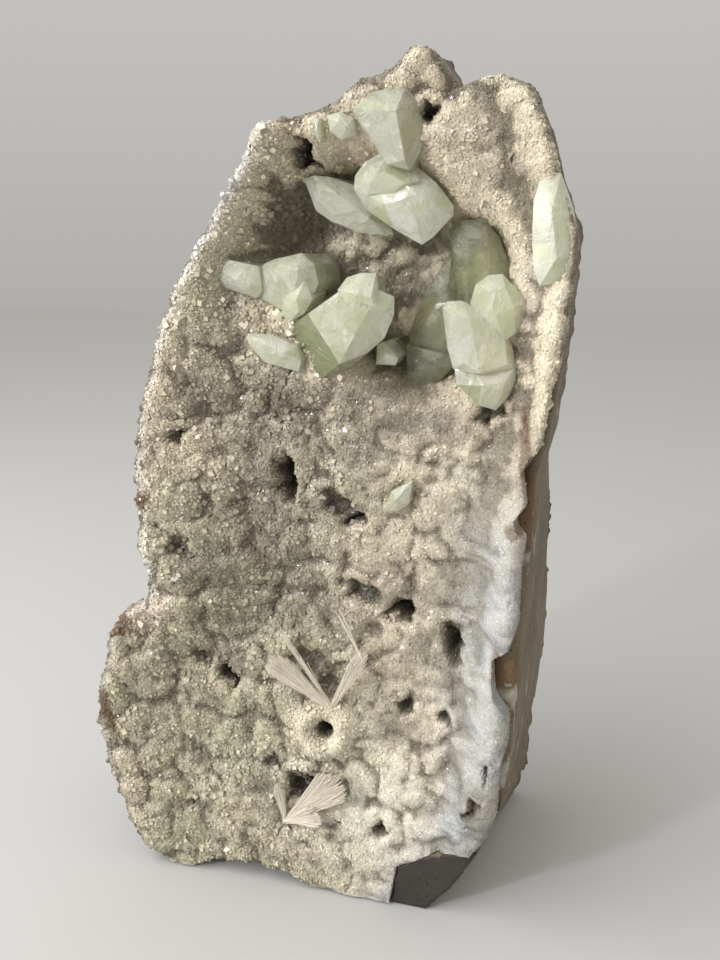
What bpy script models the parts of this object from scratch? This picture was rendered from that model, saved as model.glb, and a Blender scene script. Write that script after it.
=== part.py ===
"""Apophyllite cluster: a tall sawn piece of basalt with an open vug.

The vug is lined by one crust of fine druse.  Pale green apophyllite crystals and two cream
scolecite sprays grow out of the crust.  The piece stands on a flat sawn foot on z = 0.
X is to the right and Y runs from the open face to the back.  Depths are first measured from
the plane of the rim; at the end all pieces move forward, so that the origin is on the foot.
"""

import math

import bmesh
import bpy
import numpy as np
from mathutils import Vector

MM = 0.001

# Driving dimensions, in metres
HEIGHT = 300.0 * MM
CRUST_THICKNESS = 4.5 * MM
GAP = 0.3 * MM
RIM_ROUNDING = 4.0 * MM
DRUSE_STEP = 2.5 * MM
DRUSE_FACES = 3700
BED_STEP = 5.0 * MM
BED_FACES = 1050
BACK_STEP = 7.5 * MM
BACK_FACES = 560
FLATTENED = 0.5
LUMP_CELLS = ((13.0 * MM, 4.0 * MM, 3), (6.5 * MM, 1.8 * MM, 8))
TOE_FRONT = 1.5 * MM
RIM_TO_ORIGIN = 45.0 * MM
FAR_BACK = 150.0 * MM
FAR_FRONT = -60.0 * MM

# Edge of the piece seen from the open side, (x, z) in millimetres
LEFT_EDGE = (
    (-59.0, 0.0), (-66.0, 4.9), (-72.0, 15.2), (-78.0, 27.7), (-83.0, 49.2), (-84.1, 66.5),
    (-77.7, 92.8), (-70.4, 105.3), (-60.5, 111.0), (-58.5, 123.5), (-62.1, 134.8),
    (-61.7, 161.5), (-58.5, 180.1), (-54.2, 198.2), (-43.0, 226.1), (-32.9, 242.7),
    (-21.4, 261.7), (-10.4, 278.3),
)
TOP_EDGE = (
    (3.1, 281.8), (13.0, 285.1), (21.1, 290.6), (32.2, 293.6), (38.9, 299.6), (44.5, 298.5),
    (49.1, 291.8), (51.3, 287.3), (58.2, 289.3), (65.6, 290.4), (74.4, 287.4), (80.2, 274.8),
    (84.4, 260.8), (90.2, 245.1), (89.6, 234.8), (88.3, 216.0),
)
MATRIX_RIGHT_EDGE = (
    (87.0, 205.0), (84.0, 180.0), (80.5, 168.0), (80.0, 141.0), (79.0, 120.0), (77.5, 100.0),
    (77.0, 74.0), (75.5, 58.0), (74.0, 46.0), (67.0, 28.0), (58.0, 12.0), (48.0, 0.0),
)
CRUST_RIGHT_EDGE = (
    (86.5, 205.0), (84.0, 196.0), (82.3, 180.0), (76.4, 170.5), (78.4, 160.0), (74.8, 154.6),
    (79.0, 149.0), (77.8, 136.0), (77.8, 119.0), (75.5, 111.0), (69.6, 105.0), (70.8, 93.0),
    (75.8, 86.0), (76.0, 74.5), (73.8, 66.0), (73.0, 46.0), (71.5, 39.0),
)
CRUST_BOTTOM_EDGE = (
    (64.3, 27.6), (49.5, 23.1), (36.3, 16.0), (34.0, 0.6), (3.5, 0.6), (-2.0, 4.0),
    (-10.0, 6.2), (-27.0, 7.0), (-40.0, 4.5), (-46.0, 0.6), (-58.5, 0.6),
)
# The sawn bevel at the foot runs out towards the back: outline points on the back ring
BEVEL_BACK = {(74.0, 46.0): (74.5, 46.0), (67.0, 28.0): (73.5, 26.0), (58.0, 12.0): (73.0, 10.0),
              (48.0, 0.0): (71.5, 0.0)}
TOE_EDGE = (
    (34.3, -8.0), (34.3, 0.6), (36.6, 15.6), (49.6, 22.7), (64.5, 27.2), (71.8, 38.6),
    (95.0, 43.0), (95.0, -8.0),
)

# Depth of the open face behind the rim plane at heights z, in millimetres
FLOOR_HEIGHTS = (0.0, 15.0, 30.0, 60.0, 90.0, 130.0, 165.0, 185.0, 200.0, 225.0, 260.0, 290.0,
                 300.0)
FLOOR_DEPTHS = (3.0, 4.0, 6.0, 10.0, 13.0, 16.0, 15.0, 15.0, 13.0, 11.0, 12.0, 5.0, 0.0)
# Width of the slope inside the left edge at the same heights, and inside the right edge
LEFT_SLOPES = (24.0, 30.0, 36.0, 44.0, 48.0, 46.0, 44.0, 42.0, 38.0, 26.0, 17.0, 14.0, 14.0)
RIGHT_WALL = 16.0 * MM
# Hollows of the vug: centre x, centre z, radius x, radius z, depth, in millimetres
BASINS = (
    (16.0, 243.0, 50.0, 37.0, 40.0), (38.0, 212.0, 36.0, 30.0, 32.0),
    (55.0, 234.0, 22.0, 27.0, 22.0),
)
# Places where the druse has hardly any lumps: centre x, centre z, radius, in millimetres
CALM_PLACES = (
    (9.5, 75.5, 6.0), (-8.0, 27.0, 6.0), (84.0, 246.0, 14.0), (15.0, 278.0, 6.0),
    (33.0, 276.0, 8.0), (25.0, 105.0, 4.0), (34.0, 157.0, 5.0), (-10.0, 206.0, 8.0),
    (-25.0, 230.0, 8.0),
)
# Pits in the druse: centre x, centre z, radius x, radius z, depth, lean in degrees
PITS = (
    (-8.3, 159.2, 5.5, 10.0, 14.0, 10.0), (11.0, 151.0, 7.0, 5.0, 6.0, -35.0),
    (17.0, 146.0, 3.5, 4.5, 9.0, 0.0), (35.0, 113.0, 6.5, 4.2, 12.0, 20.0),
    (19.0, 119.5, 8.5, 4.5, 5.0, -15.0), (53.5, 103.0, 5.0, 7.5, 12.0, 0.0),
    (-33.0, 79.5, 4.5, 5.0, 11.0, 0.0), (-43.0, 87.0, 6.0, 5.0, 4.0, 0.0),
    (-2.6, 39.0, 6.5, 7.5, 9.0, 0.0), (-14.0, 48.5, 6.0, 4.0, 4.0, 0.0),
    (29.5, 27.5, 3.0, 4.5, 7.0, 0.0), (38.6, 77.0, 4.5, 4.0, 7.0, 0.0),
    (-46.0, 175.5, 3.5, 3.5, 6.0, 0.0), (63.0, 187.5, 6.0, 4.0, 7.0, 15.0),
    (-0.5, 271.0, 5.0, 6.0, 15.0, 0.0), (42.5, 281.0, 4.0, 3.5, 10.0, 0.0),
    (64.0, 47.0, 2.6, 4.5, 6.0, -25.0), (68.6, 63.0, 2.6, 3.5, 5.0, 0.0),
    (-47.0, 132.0, 5.0, 6.0, 4.0, 0.0), (52.0, 75.5, 2.4, 4.0, 5.0, 0.0),
    (3.0, 87.0, 15.0, 9.0, 3.5, 0.0), (8.0, 42.0, 11.0, 9.0, 2.5, 30.0),
)
# The tube in the lower druse: centre x, centre z, ring radius, ring width, height, bore, depth
TUBE = (7.0, 65.5, 7.6, 4.2, 6.5, 3.6, 13.0)
# The ridge inside the right rim: distance from the rim, width, height, lowest and highest z
RIDGE = (10.0, 8.0, 8.0, 25.0, 165.0)

# Back of the piece at heights z: depth at mid width, at the left edge and at the right edge
BACK_HEIGHTS = (0.0, 50.0, 100.0, 120.0, 150.0, 175.0, 205.0, 240.0, 265.0, 285.0, 300.0)
BACK_MIDDLE = (94.0, 98.0, 98.0, 96.0, 91.0, 87.0, 80.0, 70.0, 56.0, 38.0, 24.0)
BACK_LEFT = (78.0, 78.0, 68.0, 63.0, 56.0, 50.0, 43.0, 36.0, 30.0, 24.0, 20.0)
BACK_RIGHT = (90.0, 98.0, 96.0, 70.0, 55.0, 37.0, 26.0, 14.0, 16.0, 19.0, 20.0)

# Crystals: outline of the face towards the open side as (x, z), depth y of that face at its
# middle, its slope dy/dx and dy/dz, the way the crystal runs back as (dx, dy, dz), the
# taper at its root, and the share and height of the flat table in front, all in millimetres
TOP_CRYSTALS = (
    (((23.0, 284.0), (37.5, 288.5), (41.5, 279.0), (41.0, 272.5), (37.5, 262.0), (31.0, 262.0)),
     3.0, 0.1, -0.35, (1.0, 22.0, -1.0), 0.85, 0.72, 2.0),
    (((19.5, 261.5), (21.0, 265.0), (25.0, 267.5), (33.5, 269.5), (44.0, 264.5), (50.5, 254.5),
      (51.0, 250.5), (44.5, 243.5), (41.5, 242.0), (32.5, 246.0), (22.0, 254.0)),
     8.0, 0.1, -0.1, (-4.0, 34.0, 3.0), 0.6, 0.62, 4.0),
    (((-1.0, 261.5), (5.0, 263.5), (16.0, 260.5), (34.0, 260.0), (36.0, 250.0), (29.5, 245.5),
      (26.0, 244.0), (17.5, 246.0), (5.5, 250.5), (0.0, 254.5)),
     17.0, -0.1, 0.1, (4.0, 30.0, 2.0), 0.7, 0.75, 2.0),
)
RIGHT_CRYSTALS = (
    (((50.0, 246.5), (52.0, 252.0), (58.0, 254.5), (64.5, 250.0), (68.0, 237.0), (68.5, 230.5),
      (63.0, 218.0), (55.5, 216.0), (52.5, 232.0)),
     15.0, 0.1, 0.1, (1.0, 24.0, -2.0), 0.8, 0.6, 1.5),
    (((47.5, 239.5), (41.0, 229.0), (33.0, 215.5), (33.0, 208.5), (47.0, 205.5), (56.0, 210.0),
      (56.0, 228.0), (50.0, 239.0)),
     23.0, 0.25, -0.1, (3.0, 26.0, -4.0), 0.85, 0.7, 2.0),
    (((32.8, 209.5), (47.0, 206.5), (49.0, 200.0), (37.5, 193.5), (33.5, 195.0)),
     21.5, 0.2, 0.35, (4.0, 20.0, 2.0), 0.9, 0.8, 1.0),
    (((49.0, 221.5), (51.0, 224.0), (54.5, 224.5), (58.0, 223.0), (69.0, 213.0), (72.0, 208.0),
      (72.0, 203.5), (59.0, 200.5), (53.5, 203.0), (50.0, 217.5)),
     6.5, 0.1, 0.1, (-1.0, 28.0, -1.0), 0.75, 0.66, 3.0),
    (((58.5, 226.0), (60.0, 230.0), (64.5, 233.0), (68.0, 233.0), (75.5, 226.0), (76.0, 222.5),
      (73.0, 216.0), (70.0, 213.5), (62.0, 216.0), (58.0, 223.0)),
     6.0, -0.2, 0.0, (-3.0, 24.0, 0.0), 0.8, 0.6, 3.0),
    (((52.0, 203.0), (60.0, 206.0), (71.5, 205.0), (72.5, 200.5), (70.5, 195.5), (67.0, 190.5),
      (61.0, 191.0), (54.0, 197.0)),
     8.5, 0.0, -0.3, (-2.0, 22.0, 1.0), 0.85, 0.8, 1.0),
)
LEFT_CRYSTALS = (
    (((2.5, 219.0), (4.5, 222.0), (13.5, 227.0), (16.5, 230.0), (20.5, 232.5), (25.5, 233.0),
      (26.5, 228.5), (32.5, 225.5), (32.5, 219.0), (30.5, 212.5), (15.0, 203.0)),
     6.0, 0.0, 0.2, (-9.0, 18.0, -6.0), 0.9, 0.9, 1.0),
    (((-17.0, 228.0), (-15.5, 233.0), (-13.0, 235.5), (-9.5, 237.5), (-0.5, 239.0), (3.5, 235.5),
      (5.5, 229.5), (9.0, 225.0), (-6.5, 219.5), (-11.0, 222.5), (-15.5, 223.5)),
     9.0, 0.1, 0.1, (2.0, 24.0, 0.0), 0.85, 0.6, 2.5),
    (((-34.5, 229.5), (-29.0, 232.0), (-26.5, 236.5), (-19.0, 234.0), (-12.5, 234.0),
      (-13.5, 226.5), (-15.0, 223.5), (-18.5, 225.0), (-28.0, 228.0)),
     5.5, 0.2, 0.0, (2.0, 20.0, 0.0), 0.9, 0.6, 1.5),
    (((-5.5, 227.0), (2.0, 230.0), (9.0, 222.0), (6.0, 215.5), (-3.5, 216.0), (-6.0, 219.0)),
     6.5, 0.1, 0.1, (0.0, 16.0, 1.0), 0.9, 0.75, 1.2),
)
SIDE_CRYSTALS = (
    (((-20.0, 210.5), (-16.5, 211.5), (-11.5, 211.5), (-2.5, 208.0), (-1.0, 203.5),
      (-1.5, 200.5), (-9.0, 201.0), (-13.0, 202.0), (-19.5, 208.0)),
     5.0, 0.0, 0.2, (2.0, 18.0, 0.0), 0.85, 0.6, 1.5),
)
RIM_CRYSTALS = (
    (((77.5, 254.5), (79.0, 260.5), (84.2, 261.0), (88.0, 250.0), (89.6, 245.0), (89.2, 238.5),
      (88.3, 232.0), (80.5, 231.0), (79.0, 234.5), (78.0, 243.5)),
     0.5, -0.3, 0.0, (-1.0, 18.0, 0.0), 0.95, 0.7, 1.5),
)
FOOT_CRYSTALS = (
    (((24.5, 208.5), (27.0, 209.5), (32.0, 204.0), (31.0, 201.0), (24.0, 201.5)),
     11.5, 0.0, 0.0, (0.0, 20.0, 0.0), 0.9, 0.5, 1.5),
)
BLADE_CRYSTALS = (
    (((29.0, 151.5), (31.5, 159.0), (39.0, 163.5), (38.0, 155.0), (34.0, 152.0)),
     7.0, 0.1, 0.1, (0.0, 16.0, 0.0), 0.9, 0.6, 1.2),
)
BROW_CRYSTALS = (
    (((10.0, 281.0), (14.5, 282.0), (19.0, 280.0), (19.5, 275.5), (15.0, 273.5), (11.0, 276.0)),
     2.0, 0.0, 0.0, (0.0, 18.0, 0.0), 0.9, 0.55, 2.0),
    (((5.3, 281.5), (8.3, 281.5), (11.5, 279.0), (11.0, 276.5), (8.4, 274.0), (7.3, 272.0),
      (6.2, 275.5)),
     2.5, 0.0, 0.0, (1.5, 18.0, 2.0), 0.9, 0.4, 1.0),
)

# Sprays: root and middle of the tips as (x, y, z), width of the fan at its tips
UPPER_FANS = (
    ((9.5, 7.0, 75.0), (-11.5, -1.0, 95.0), 9.0),
    ((9.5, 7.0, 75.0), (25.0, -1.5, 102.5), 5.5),
)
UPPER_NEEDLES = (
    ((9.5, 7.0, 75.0), (-12.7, 0.0, 113.8)),
    ((9.5, 7.0, 75.0), (-5.6, -1.0, 104.5)),
    ((9.5, 7.0, 75.0), (0.1, -1.0, 97.8)),
    ((24.0, -1.0, 100.0), (14.1, -1.0, 118.5)),
)
LOWER_FANS = (
    ((-8.0, 2.5, 26.5), (16.5, -4.0, 51.5), 15.0),
    ((-8.0, 2.5, 26.5), (8.5, -3.5, 35.0), 9.0),
    ((-8.0, 2.5, 26.5), (-9.0, -2.5, 45.0), 4.5),
)


def smooth(t):
    """Smooth step from 0 to 1."""
    t = np.clip(t, 0.0, 1.0)
    return t * t * (3.0 - 2.0 * t)


def scatter(i, j, seed):
    """Repeatable values from 0 to 1 for whole-numbered cells."""
    n = (i * 374761393 + j * 668265263 + seed * 974634777) & 0xFFFFFFFF
    n = ((n ^ (n >> 13)) * 1274126177) & 0xFFFFFFFF
    return ((n ^ (n >> 16)) & 0xFFFFFF) / float(0xFFFFFF)


def lumps(x, z, cell, seed):
    """Rounded lumps of about one cell each, from 0 in the creases to 1 on the crowns."""
    i = np.floor(x / cell).astype(np.int64)
    j = np.floor(z / cell).astype(np.int64)
    height = np.zeros_like(x)
    for di in (-1, 0, 1):
        for dj in (-1, 0, 1):
            cx = (i + di + 0.15 + 0.7 * scatter(i + di, j + dj, seed)) * cell
            cz = (j + dj + 0.15 + 0.7 * scatter(i + di, j + dj, seed + 1)) * cell
            radius = cell * (0.55 + 0.45 * scatter(i + di, j + dj, seed + 2))
            away = ((x - cx) ** 2 + (z - cz) ** 2) / radius ** 2
            height = np.maximum(height, np.sqrt(np.clip(1.0 - away, 0.0, 1.0)))
    return height


def edge_x(z, points):
    """X of an edge at heights z; the points are (x, z) in millimetres."""
    ordered = sorted((b * MM, a * MM) for a, b in points)
    return np.interp(z, [p[0] for p in ordered], [p[1] for p in ordered])


def rim_distance(x, z):
    """Distance to the edge of the piece, seen from the open side."""
    ring = np.array(LEFT_EDGE + TOP_EDGE + MATRIX_RIGHT_EDGE) * MM
    near = np.full_like(x, 1.0)
    for a, b in zip(ring, np.roll(ring, -1, axis=0)):
        if abs(a[1]) + abs(b[1]) < MM:
            continue
        run = b - a
        t = np.clip(((x - a[0]) * run[0] + (z - a[1]) * run[1]) / (run @ run), 0.0, 1.0)
        near = np.minimum(near, np.hypot(x - a[0] - t * run[0], z - a[1] - t * run[1]))
    return near


def open_face(x, z, spread=0.0):
    """Depth y of the vug without its small lumps; spread widens its pits."""
    left = edge_x(z, LEFT_EDGE)
    right = edge_x(z, TOP_EDGE[9:] + MATRIX_RIGHT_EDGE)
    y = np.interp(z, np.array(FLOOR_HEIGHTS) * MM, np.array(FLOOR_DEPTHS) * MM)
    slope = np.interp(z, np.array(FLOOR_HEIGHTS) * MM, np.array(LEFT_SLOPES) * MM)
    y = y * smooth((x - left) / slope) * smooth((right - x) / RIGHT_WALL)
    for cx, cz, rx, rz, depth in BASINS:
        away = np.hypot((x / MM - cx) / rx, (z / MM - cz) / rz)
        basin = depth * MM * (1.0 - smooth((away - 0.35) / 0.65))
        y = np.where(basin > 0.0, np.hypot(y, basin), y)
    back, width, height, low, high = RIDGE
    along = smooth((z / MM - low) / 20.0) * smooth((high - z / MM) / 20.0)
    y = y - height * MM * along * np.exp(-(((right - x) / MM - back) / width) ** 2)
    inset = np.clip(1.0 - rim_distance(x, z) / (1.5 * RIM_ROUNDING), 0.0, 1.0)
    y = y + RIM_ROUNDING * (1.0 - np.sqrt(1.0 - 0.88 * inset ** 2))
    for cx, cz, rx, rz, depth, lean in PITS:
        c, s = math.cos(math.radians(lean)), math.sin(math.radians(lean))
        u = (x / MM - cx) * c + (z / MM - cz) * s
        v = -(x / MM - cx) * s + (z / MM - cz) * c
        away = np.hypot(u / (rx + spread / MM), v / (rz + spread / MM))
        y = y + depth * MM * (1.0 - smooth((away - 0.25) / 0.9))
    cx, cz, radius, width, height, bore, depth = TUBE
    away = np.hypot(x / MM - cx, z / MM - cz)
    y = y - height * MM * np.exp(-((away - radius) / width) ** 2)
    y = y + depth * MM * (1.0 - smooth((away - 0.4 * bore) / (0.9 * bore + spread / MM)))
    return y


def druse_face(x, z):
    """Depth y of the druse surface with its lumps."""
    y = open_face(x, z)
    lively = np.ones_like(x)
    for cx, cz, radius in CALM_PLACES:
        away = np.hypot(x / MM - cx, z / MM - cz)
        lively = lively * (1.0 - 0.85 * np.exp(-(away / radius) ** 2))
    for cell, height, seed in LUMP_CELLS:
        y = y - height * lively * lumps(x, z, cell, seed)
    return y


def crust_bed(x, z):
    """Depth y of the back of the crust."""
    return open_face(x, z, spread=2.5 * MM) + CRUST_THICKNESS


def matrix_back(x, z):
    """Depth y of the rough back of the basalt."""
    heights = np.array(BACK_HEIGHTS) * MM
    left = edge_x(z, LEFT_EDGE)
    right = edge_x(z, TOP_EDGE[9:] + MATRIX_RIGHT_EDGE)
    across = np.clip(2.0 * (x - left) / (right - left) - 1.0, -1.0, 1.0)
    middle = np.interp(z, heights, np.array(BACK_MIDDLE) * MM)
    at_left = np.interp(z, heights, np.array(BACK_LEFT) * MM)
    at_right = np.interp(z, heights, np.array(BACK_RIGHT) * MM)
    at_edge = np.where(across < 0.0, at_left, at_right)
    y = middle + (at_edge - middle) * np.abs(across) ** 3
    y = y - 3.5 * MM * lumps(x, z, 34.0 * MM, 21) * (1.0 - across ** 2)
    return np.maximum(y, crust_bed(x, z) + 6.0 * MM)


def clear_scene():
    """Remove the objects of the scene."""
    for thing in list(bpy.data.objects):
        bpy.data.objects.remove(thing, do_unlink=True)


def make_collection(name):
    """New collection in the scene."""
    collection = bpy.data.collections.new(name)
    bpy.context.scene.collection.children.link(collection)
    return collection


def make_material(name, colour, roughness, alpha=1.0):
    """Principled material of one colour."""
    material = bpy.data.materials.new(name)
    material.use_nodes = True
    shader = material.node_tree.nodes["Principled BSDF"]
    shader.inputs["Base Color"].default_value = (*colour, 1.0)
    shader.inputs["Roughness"].default_value = roughness
    shader.inputs["Metallic"].default_value = 0.0
    shader.inputs["Alpha"].default_value = alpha
    return material


def new_object(name, mesh, collection):
    """Object for a mesh, linked to a collection."""
    thing = bpy.data.objects.new(name, mesh)
    collection.objects.link(thing)
    return thing


def apply_modifiers(thing):
    """Replace the mesh of an object by its evaluated shape."""
    bpy.context.view_layer.update()
    graph = bpy.context.evaluated_depsgraph_get()
    finished = bpy.data.meshes.new_from_object(thing.evaluated_get(graph))
    thing.modifiers.clear()
    thing.data = finished


def combine(thing, other, operation):
    """Boolean of two objects, applied to the first."""
    step = thing.modifiers.new(operation.lower(), "BOOLEAN")
    step.operation = operation
    step.solver = "EXACT"
    step.object = other
    apply_modifiers(thing)


def keep_largest(thing):
    """Merge doubled points, drop loose crumbs and point all faces out."""
    bm = bmesh.new()
    bm.from_mesh(thing.data)
    bmesh.ops.remove_doubles(bm, verts=bm.verts, dist=0.002 * MM)
    bmesh.ops.dissolve_degenerate(bm, dist=0.002 * MM, edges=bm.edges)
    bm.verts.ensure_lookup_table()
    seen = set()
    islands = []
    for start in bm.verts:
        if start in seen:
            continue
        seen.add(start)
        island = [start]
        for vert in island:
            for edge in vert.link_edges:
                other = edge.other_vert(vert)
                if other not in seen:
                    seen.add(other)
                    island.append(other)
        islands.append(island)
    largest = max(islands, key=len)
    for island in islands:
        if island is not largest:
            bmesh.ops.delete(bm, geom=island, context="VERTS")
    bmesh.ops.triangulate(bm, faces=bm.faces)
    bmesh.ops.recalc_face_normals(bm, faces=bm.faces)
    bm.to_mesh(thing.data)
    bm.free()


def relief_block(name, face, step, faces, far, collection):
    """Closed block with a relief on one side, from the relief to the plane y = far."""
    low_x, high_x = -95.0 * MM, 100.0 * MM
    low_z, high_z = -10.0 * MM, HEIGHT + 10.0 * MM
    columns = round((high_x - low_x) / step)
    rows = round((high_z - low_z) / step)
    bpy.ops.mesh.primitive_grid_add(x_subdivisions=columns, y_subdivisions=rows, size=1.0)
    thing = bpy.context.object
    thing.name = name
    for owner in list(thing.users_collection):
        owner.objects.unlink(thing)
    collection.objects.link(thing)
    mesh = thing.data
    flat = np.empty(3 * len(mesh.vertices))
    mesh.vertices.foreach_get("co", flat)
    flat = flat.reshape(-1, 3)
    x = low_x + (flat[:, 0] + 0.5) * (high_x - low_x)
    z = low_z + (flat[:, 1] + 0.5) * (high_z - low_z)
    placed = np.stack([x, FLATTENED * face(x, z), z], axis=1)
    mesh.vertices.foreach_set("co", placed.ravel())
    mesh.update()
    thin = thing.modifiers.new("fewer_faces", "DECIMATE")
    thin.ratio = min(1.0, faces * 1.12 / (2.0 * columns * rows))
    apply_modifiers(thing)
    left = np.empty(3 * len(thing.data.vertices))
    thing.data.vertices.foreach_get("co", left)
    left = left.reshape(-1, 3)
    left[:, 1] = face(left[:, 0], left[:, 2])
    thing.data.vertices.foreach_set("co", left.ravel())
    bm = bmesh.new()
    bm.from_mesh(thing.data)
    bmesh.ops.triangulate(bm, faces=bm.faces)
    border = [edge for edge in bm.edges if edge.is_boundary]
    grown = bmesh.ops.extrude_edge_only(bm, edges=border)["geom"]
    for vert in grown:
        if isinstance(vert, bmesh.types.BMVert):
            vert.co.y = far
    bmesh.ops.holes_fill(bm, edges=[edge for edge in bm.edges if edge.is_boundary])
    bmesh.ops.recalc_face_normals(bm, faces=bm.faces)
    bm.to_mesh(thing.data)
    bm.free()
    return thing


def shifted_copy(name, thing, distance, collection):
    """Copy of a block moved along the depth."""
    copy = new_object(name, thing.data.copy(), collection)
    for vert in copy.data.vertices:
        vert.co.y += distance
    return copy


def outline_prism(name, outline, stations, collection):
    """Prism from an (x, z) outline; stations are (y, point moves) along the depth."""
    mesh = bpy.data.meshes.new(name)
    bm = bmesh.new()
    first_y = stations[0][0]
    ring = [bm.verts.new((x * MM, first_y, z * MM)) for x, z in outline]
    face = bm.faces.new(ring)
    for number, (y, moves) in enumerate(stations[1:]):
        grown = bmesh.ops.extrude_face_region(bm, geom=[face])["geom"]
        behind, face = face, next(g for g in grown if isinstance(g, bmesh.types.BMFace))
        if number > 0 and behind.is_valid:
            bm.faces.remove(behind)
        for vert in face.verts:
            place = (round(vert.co.x / MM, 1), round(vert.co.z / MM, 1))
            x, z = moves.get(place, place)
            vert.co = Vector((x * MM, y, z * MM))
    bmesh.ops.triangulate(bm, faces=bm.faces)
    bmesh.ops.recalc_face_normals(bm, faces=bm.faces)
    bm.to_mesh(mesh)
    bm.free()
    return new_object(name, mesh, collection)


def box(name, low, high, collection):
    """Box between two corners, in millimetres."""
    size = [(b - a) * MM for a, b in zip(low, high)]
    middle = [(a + b) * 0.5 * MM for a, b in zip(low, high)]
    mesh = bpy.data.meshes.new(name)
    bm = bmesh.new()
    bmesh.ops.create_cube(bm, size=1.0)
    bmesh.ops.scale(bm, vec=size, verts=bm.verts)
    bmesh.ops.translate(bm, vec=middle, verts=bm.verts)
    bm.to_mesh(mesh)
    bm.free()
    return new_object(name, mesh, collection)


def crystal(name, form, collection):
    """Blocky crystal: its front face drawn in space, run back to its root."""
    outline, depth, slope_x, slope_z, run, taper, table, crown = form
    middle_x = sum(p[0] for p in outline) / len(outline)
    middle_z = sum(p[1] for p in outline) / len(outline)
    middle = Vector((middle_x, depth, middle_z)) * MM
    bm = bmesh.new()
    ring = []
    for x, z in outline:
        y = depth + slope_x * (x - middle_x) + slope_z * (z - middle_z)
        ring.append(bm.verts.new(Vector((x, y, z)) * MM))
    face = bm.faces.new(ring)
    grown = bmesh.ops.extrude_face_region(bm, geom=[face])["geom"]
    root = [g for g in grown if isinstance(g, bmesh.types.BMVert)]
    for vert in root:
        vert.co = middle + (vert.co - middle) * taper + Vector(run) * MM
    grown = bmesh.ops.extrude_face_region(bm, geom=[face])["geom"]
    front = [g for g in grown if isinstance(g, bmesh.types.BMVert)]
    for vert in front:
        vert.co = middle + (vert.co - middle) * table - Vector((0.0, crown * MM, 0.0))
    if face.is_valid:
        bm.faces.remove(face)
    bmesh.ops.recalc_face_normals(bm, faces=bm.faces)
    mesh = bpy.data.meshes.new(name)
    bm.to_mesh(mesh)
    bm.free()
    return new_object(name, mesh, collection)


def grown_together(name, forms, druse_cutter, material, parts, cutters):
    """Node made of crystals grown into each other, cut where they meet the druse."""
    whole = crystal(name, forms[0], parts)
    for number, form in enumerate(forms[1:]):
        other = crystal(f"{name}_grown_{number}", form, cutters)
        combine(whole, other, "UNION")
    combine(whole, druse_cutter, "DIFFERENCE")
    keep_largest(whole)
    whole.data.materials.clear()
    whole.data.materials.append(material)
    return whole


def stretched_cone(name, root, tip, root_radius, tip_radius, flatness, sides, collection):
    """Cone between two points, wide across the view and flattened along the depth."""
    a, b = Vector(root) * MM, Vector(tip) * MM
    along = (b - a).normalized()
    across = along.cross(Vector((0.0, 1.0, 0.0))).normalized()
    through = across.cross(along).normalized()
    mesh = bpy.data.meshes.new(name)
    bm = bmesh.new()
    bmesh.ops.create_cone(bm, cap_ends=True, segments=sides, radius1=root_radius * MM,
                          radius2=tip_radius * MM, depth=(b - a).length)
    for vert in bm.verts:
        share = vert.co.z / (b - a).length + 0.5
        offset = across * vert.co.x + through * vert.co.y * flatness
        vert.co = a.lerp(b, share) + offset
    bm.to_mesh(mesh)
    bm.free()
    return new_object(name, mesh, collection)


def spray(name, fans, needles, druse_cutter, material, parts, cutters):
    """Spray of needles: flat fans and single needles that share a root."""
    whole = None
    for number, (root, tip, width) in enumerate(fans):
        fan = stretched_cone(f"{name}_fan_{number}", root, tip, 0.7, 0.5 * width, 0.3, 10,
                             parts if whole is None else cutters)
        if whole is None:
            whole = fan
            whole.name = name
        else:
            combine(whole, fan, "UNION")
    for number, (root, tip) in enumerate(needles):
        needle = stretched_cone(f"{name}_needle_{number}", root, tip, 0.9, 0.2, 0.8, 6, cutters)
        combine(whole, needle, "UNION")
    combine(whole, druse_cutter, "DIFFERENCE")
    keep_largest(whole)
    whole.data.materials.clear()
    whole.data.materials.append(material)
    return whole


def build_crust(relief, bed, parts, cutters):
    """Druse crust: relief in front, bed behind, cut to its own outline."""
    crust = new_object("druse_crust", relief.data.copy(), parts)
    outline = LEFT_EDGE[1:] + TOP_EDGE + CRUST_RIGHT_EDGE + CRUST_BOTTOM_EDGE
    prism = outline_prism("crust_outline", outline, ((-30 * MM, {}), (120 * MM, {})), cutters)
    combine(crust, prism, "INTERSECT")
    combine(crust, bed, "DIFFERENCE")
    keep_largest(crust)
    crust.data.materials.clear()
    crust.data.materials.append(make_material("druse", (0.52, 0.52, 0.45), 0.55))


def build_matrix(bed, parts, cutters):
    """Basalt matrix: sawn sides and foot, rough back, bed for the crust in front."""
    matrix = shifted_copy("basalt_matrix", bed, 1.5 * GAP, parts)
    toe = outline_prism("toe", TOE_EDGE, ((TOE_FRONT, {}), (45 * MM, {})), cutters)
    combine(matrix, toe, "UNION")
    outline = LEFT_EDGE + TOP_EDGE + MATRIX_RIGHT_EDGE
    stations = ((-30 * MM, {}), (0.0, {}), (110 * MM, BEVEL_BACK))
    prism = outline_prism("matrix_outline", outline, stations, cutters)
    combine(matrix, prism, "INTERSECT")
    back = relief_block("matrix_back", matrix_back, BACK_STEP, BACK_FACES, FAR_FRONT, cutters)
    combine(matrix, back, "INTERSECT")
    arch = box("foot_arch", (-45.0, -5.0, -5.0), (3.0, 9.0, 6.5), cutters)
    combine(matrix, arch, "DIFFERENCE")
    keep_largest(matrix)
    matrix.data.materials.clear()
    matrix.data.materials.append(make_material("basalt", (0.16, 0.13, 0.1), 0.85))


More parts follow.
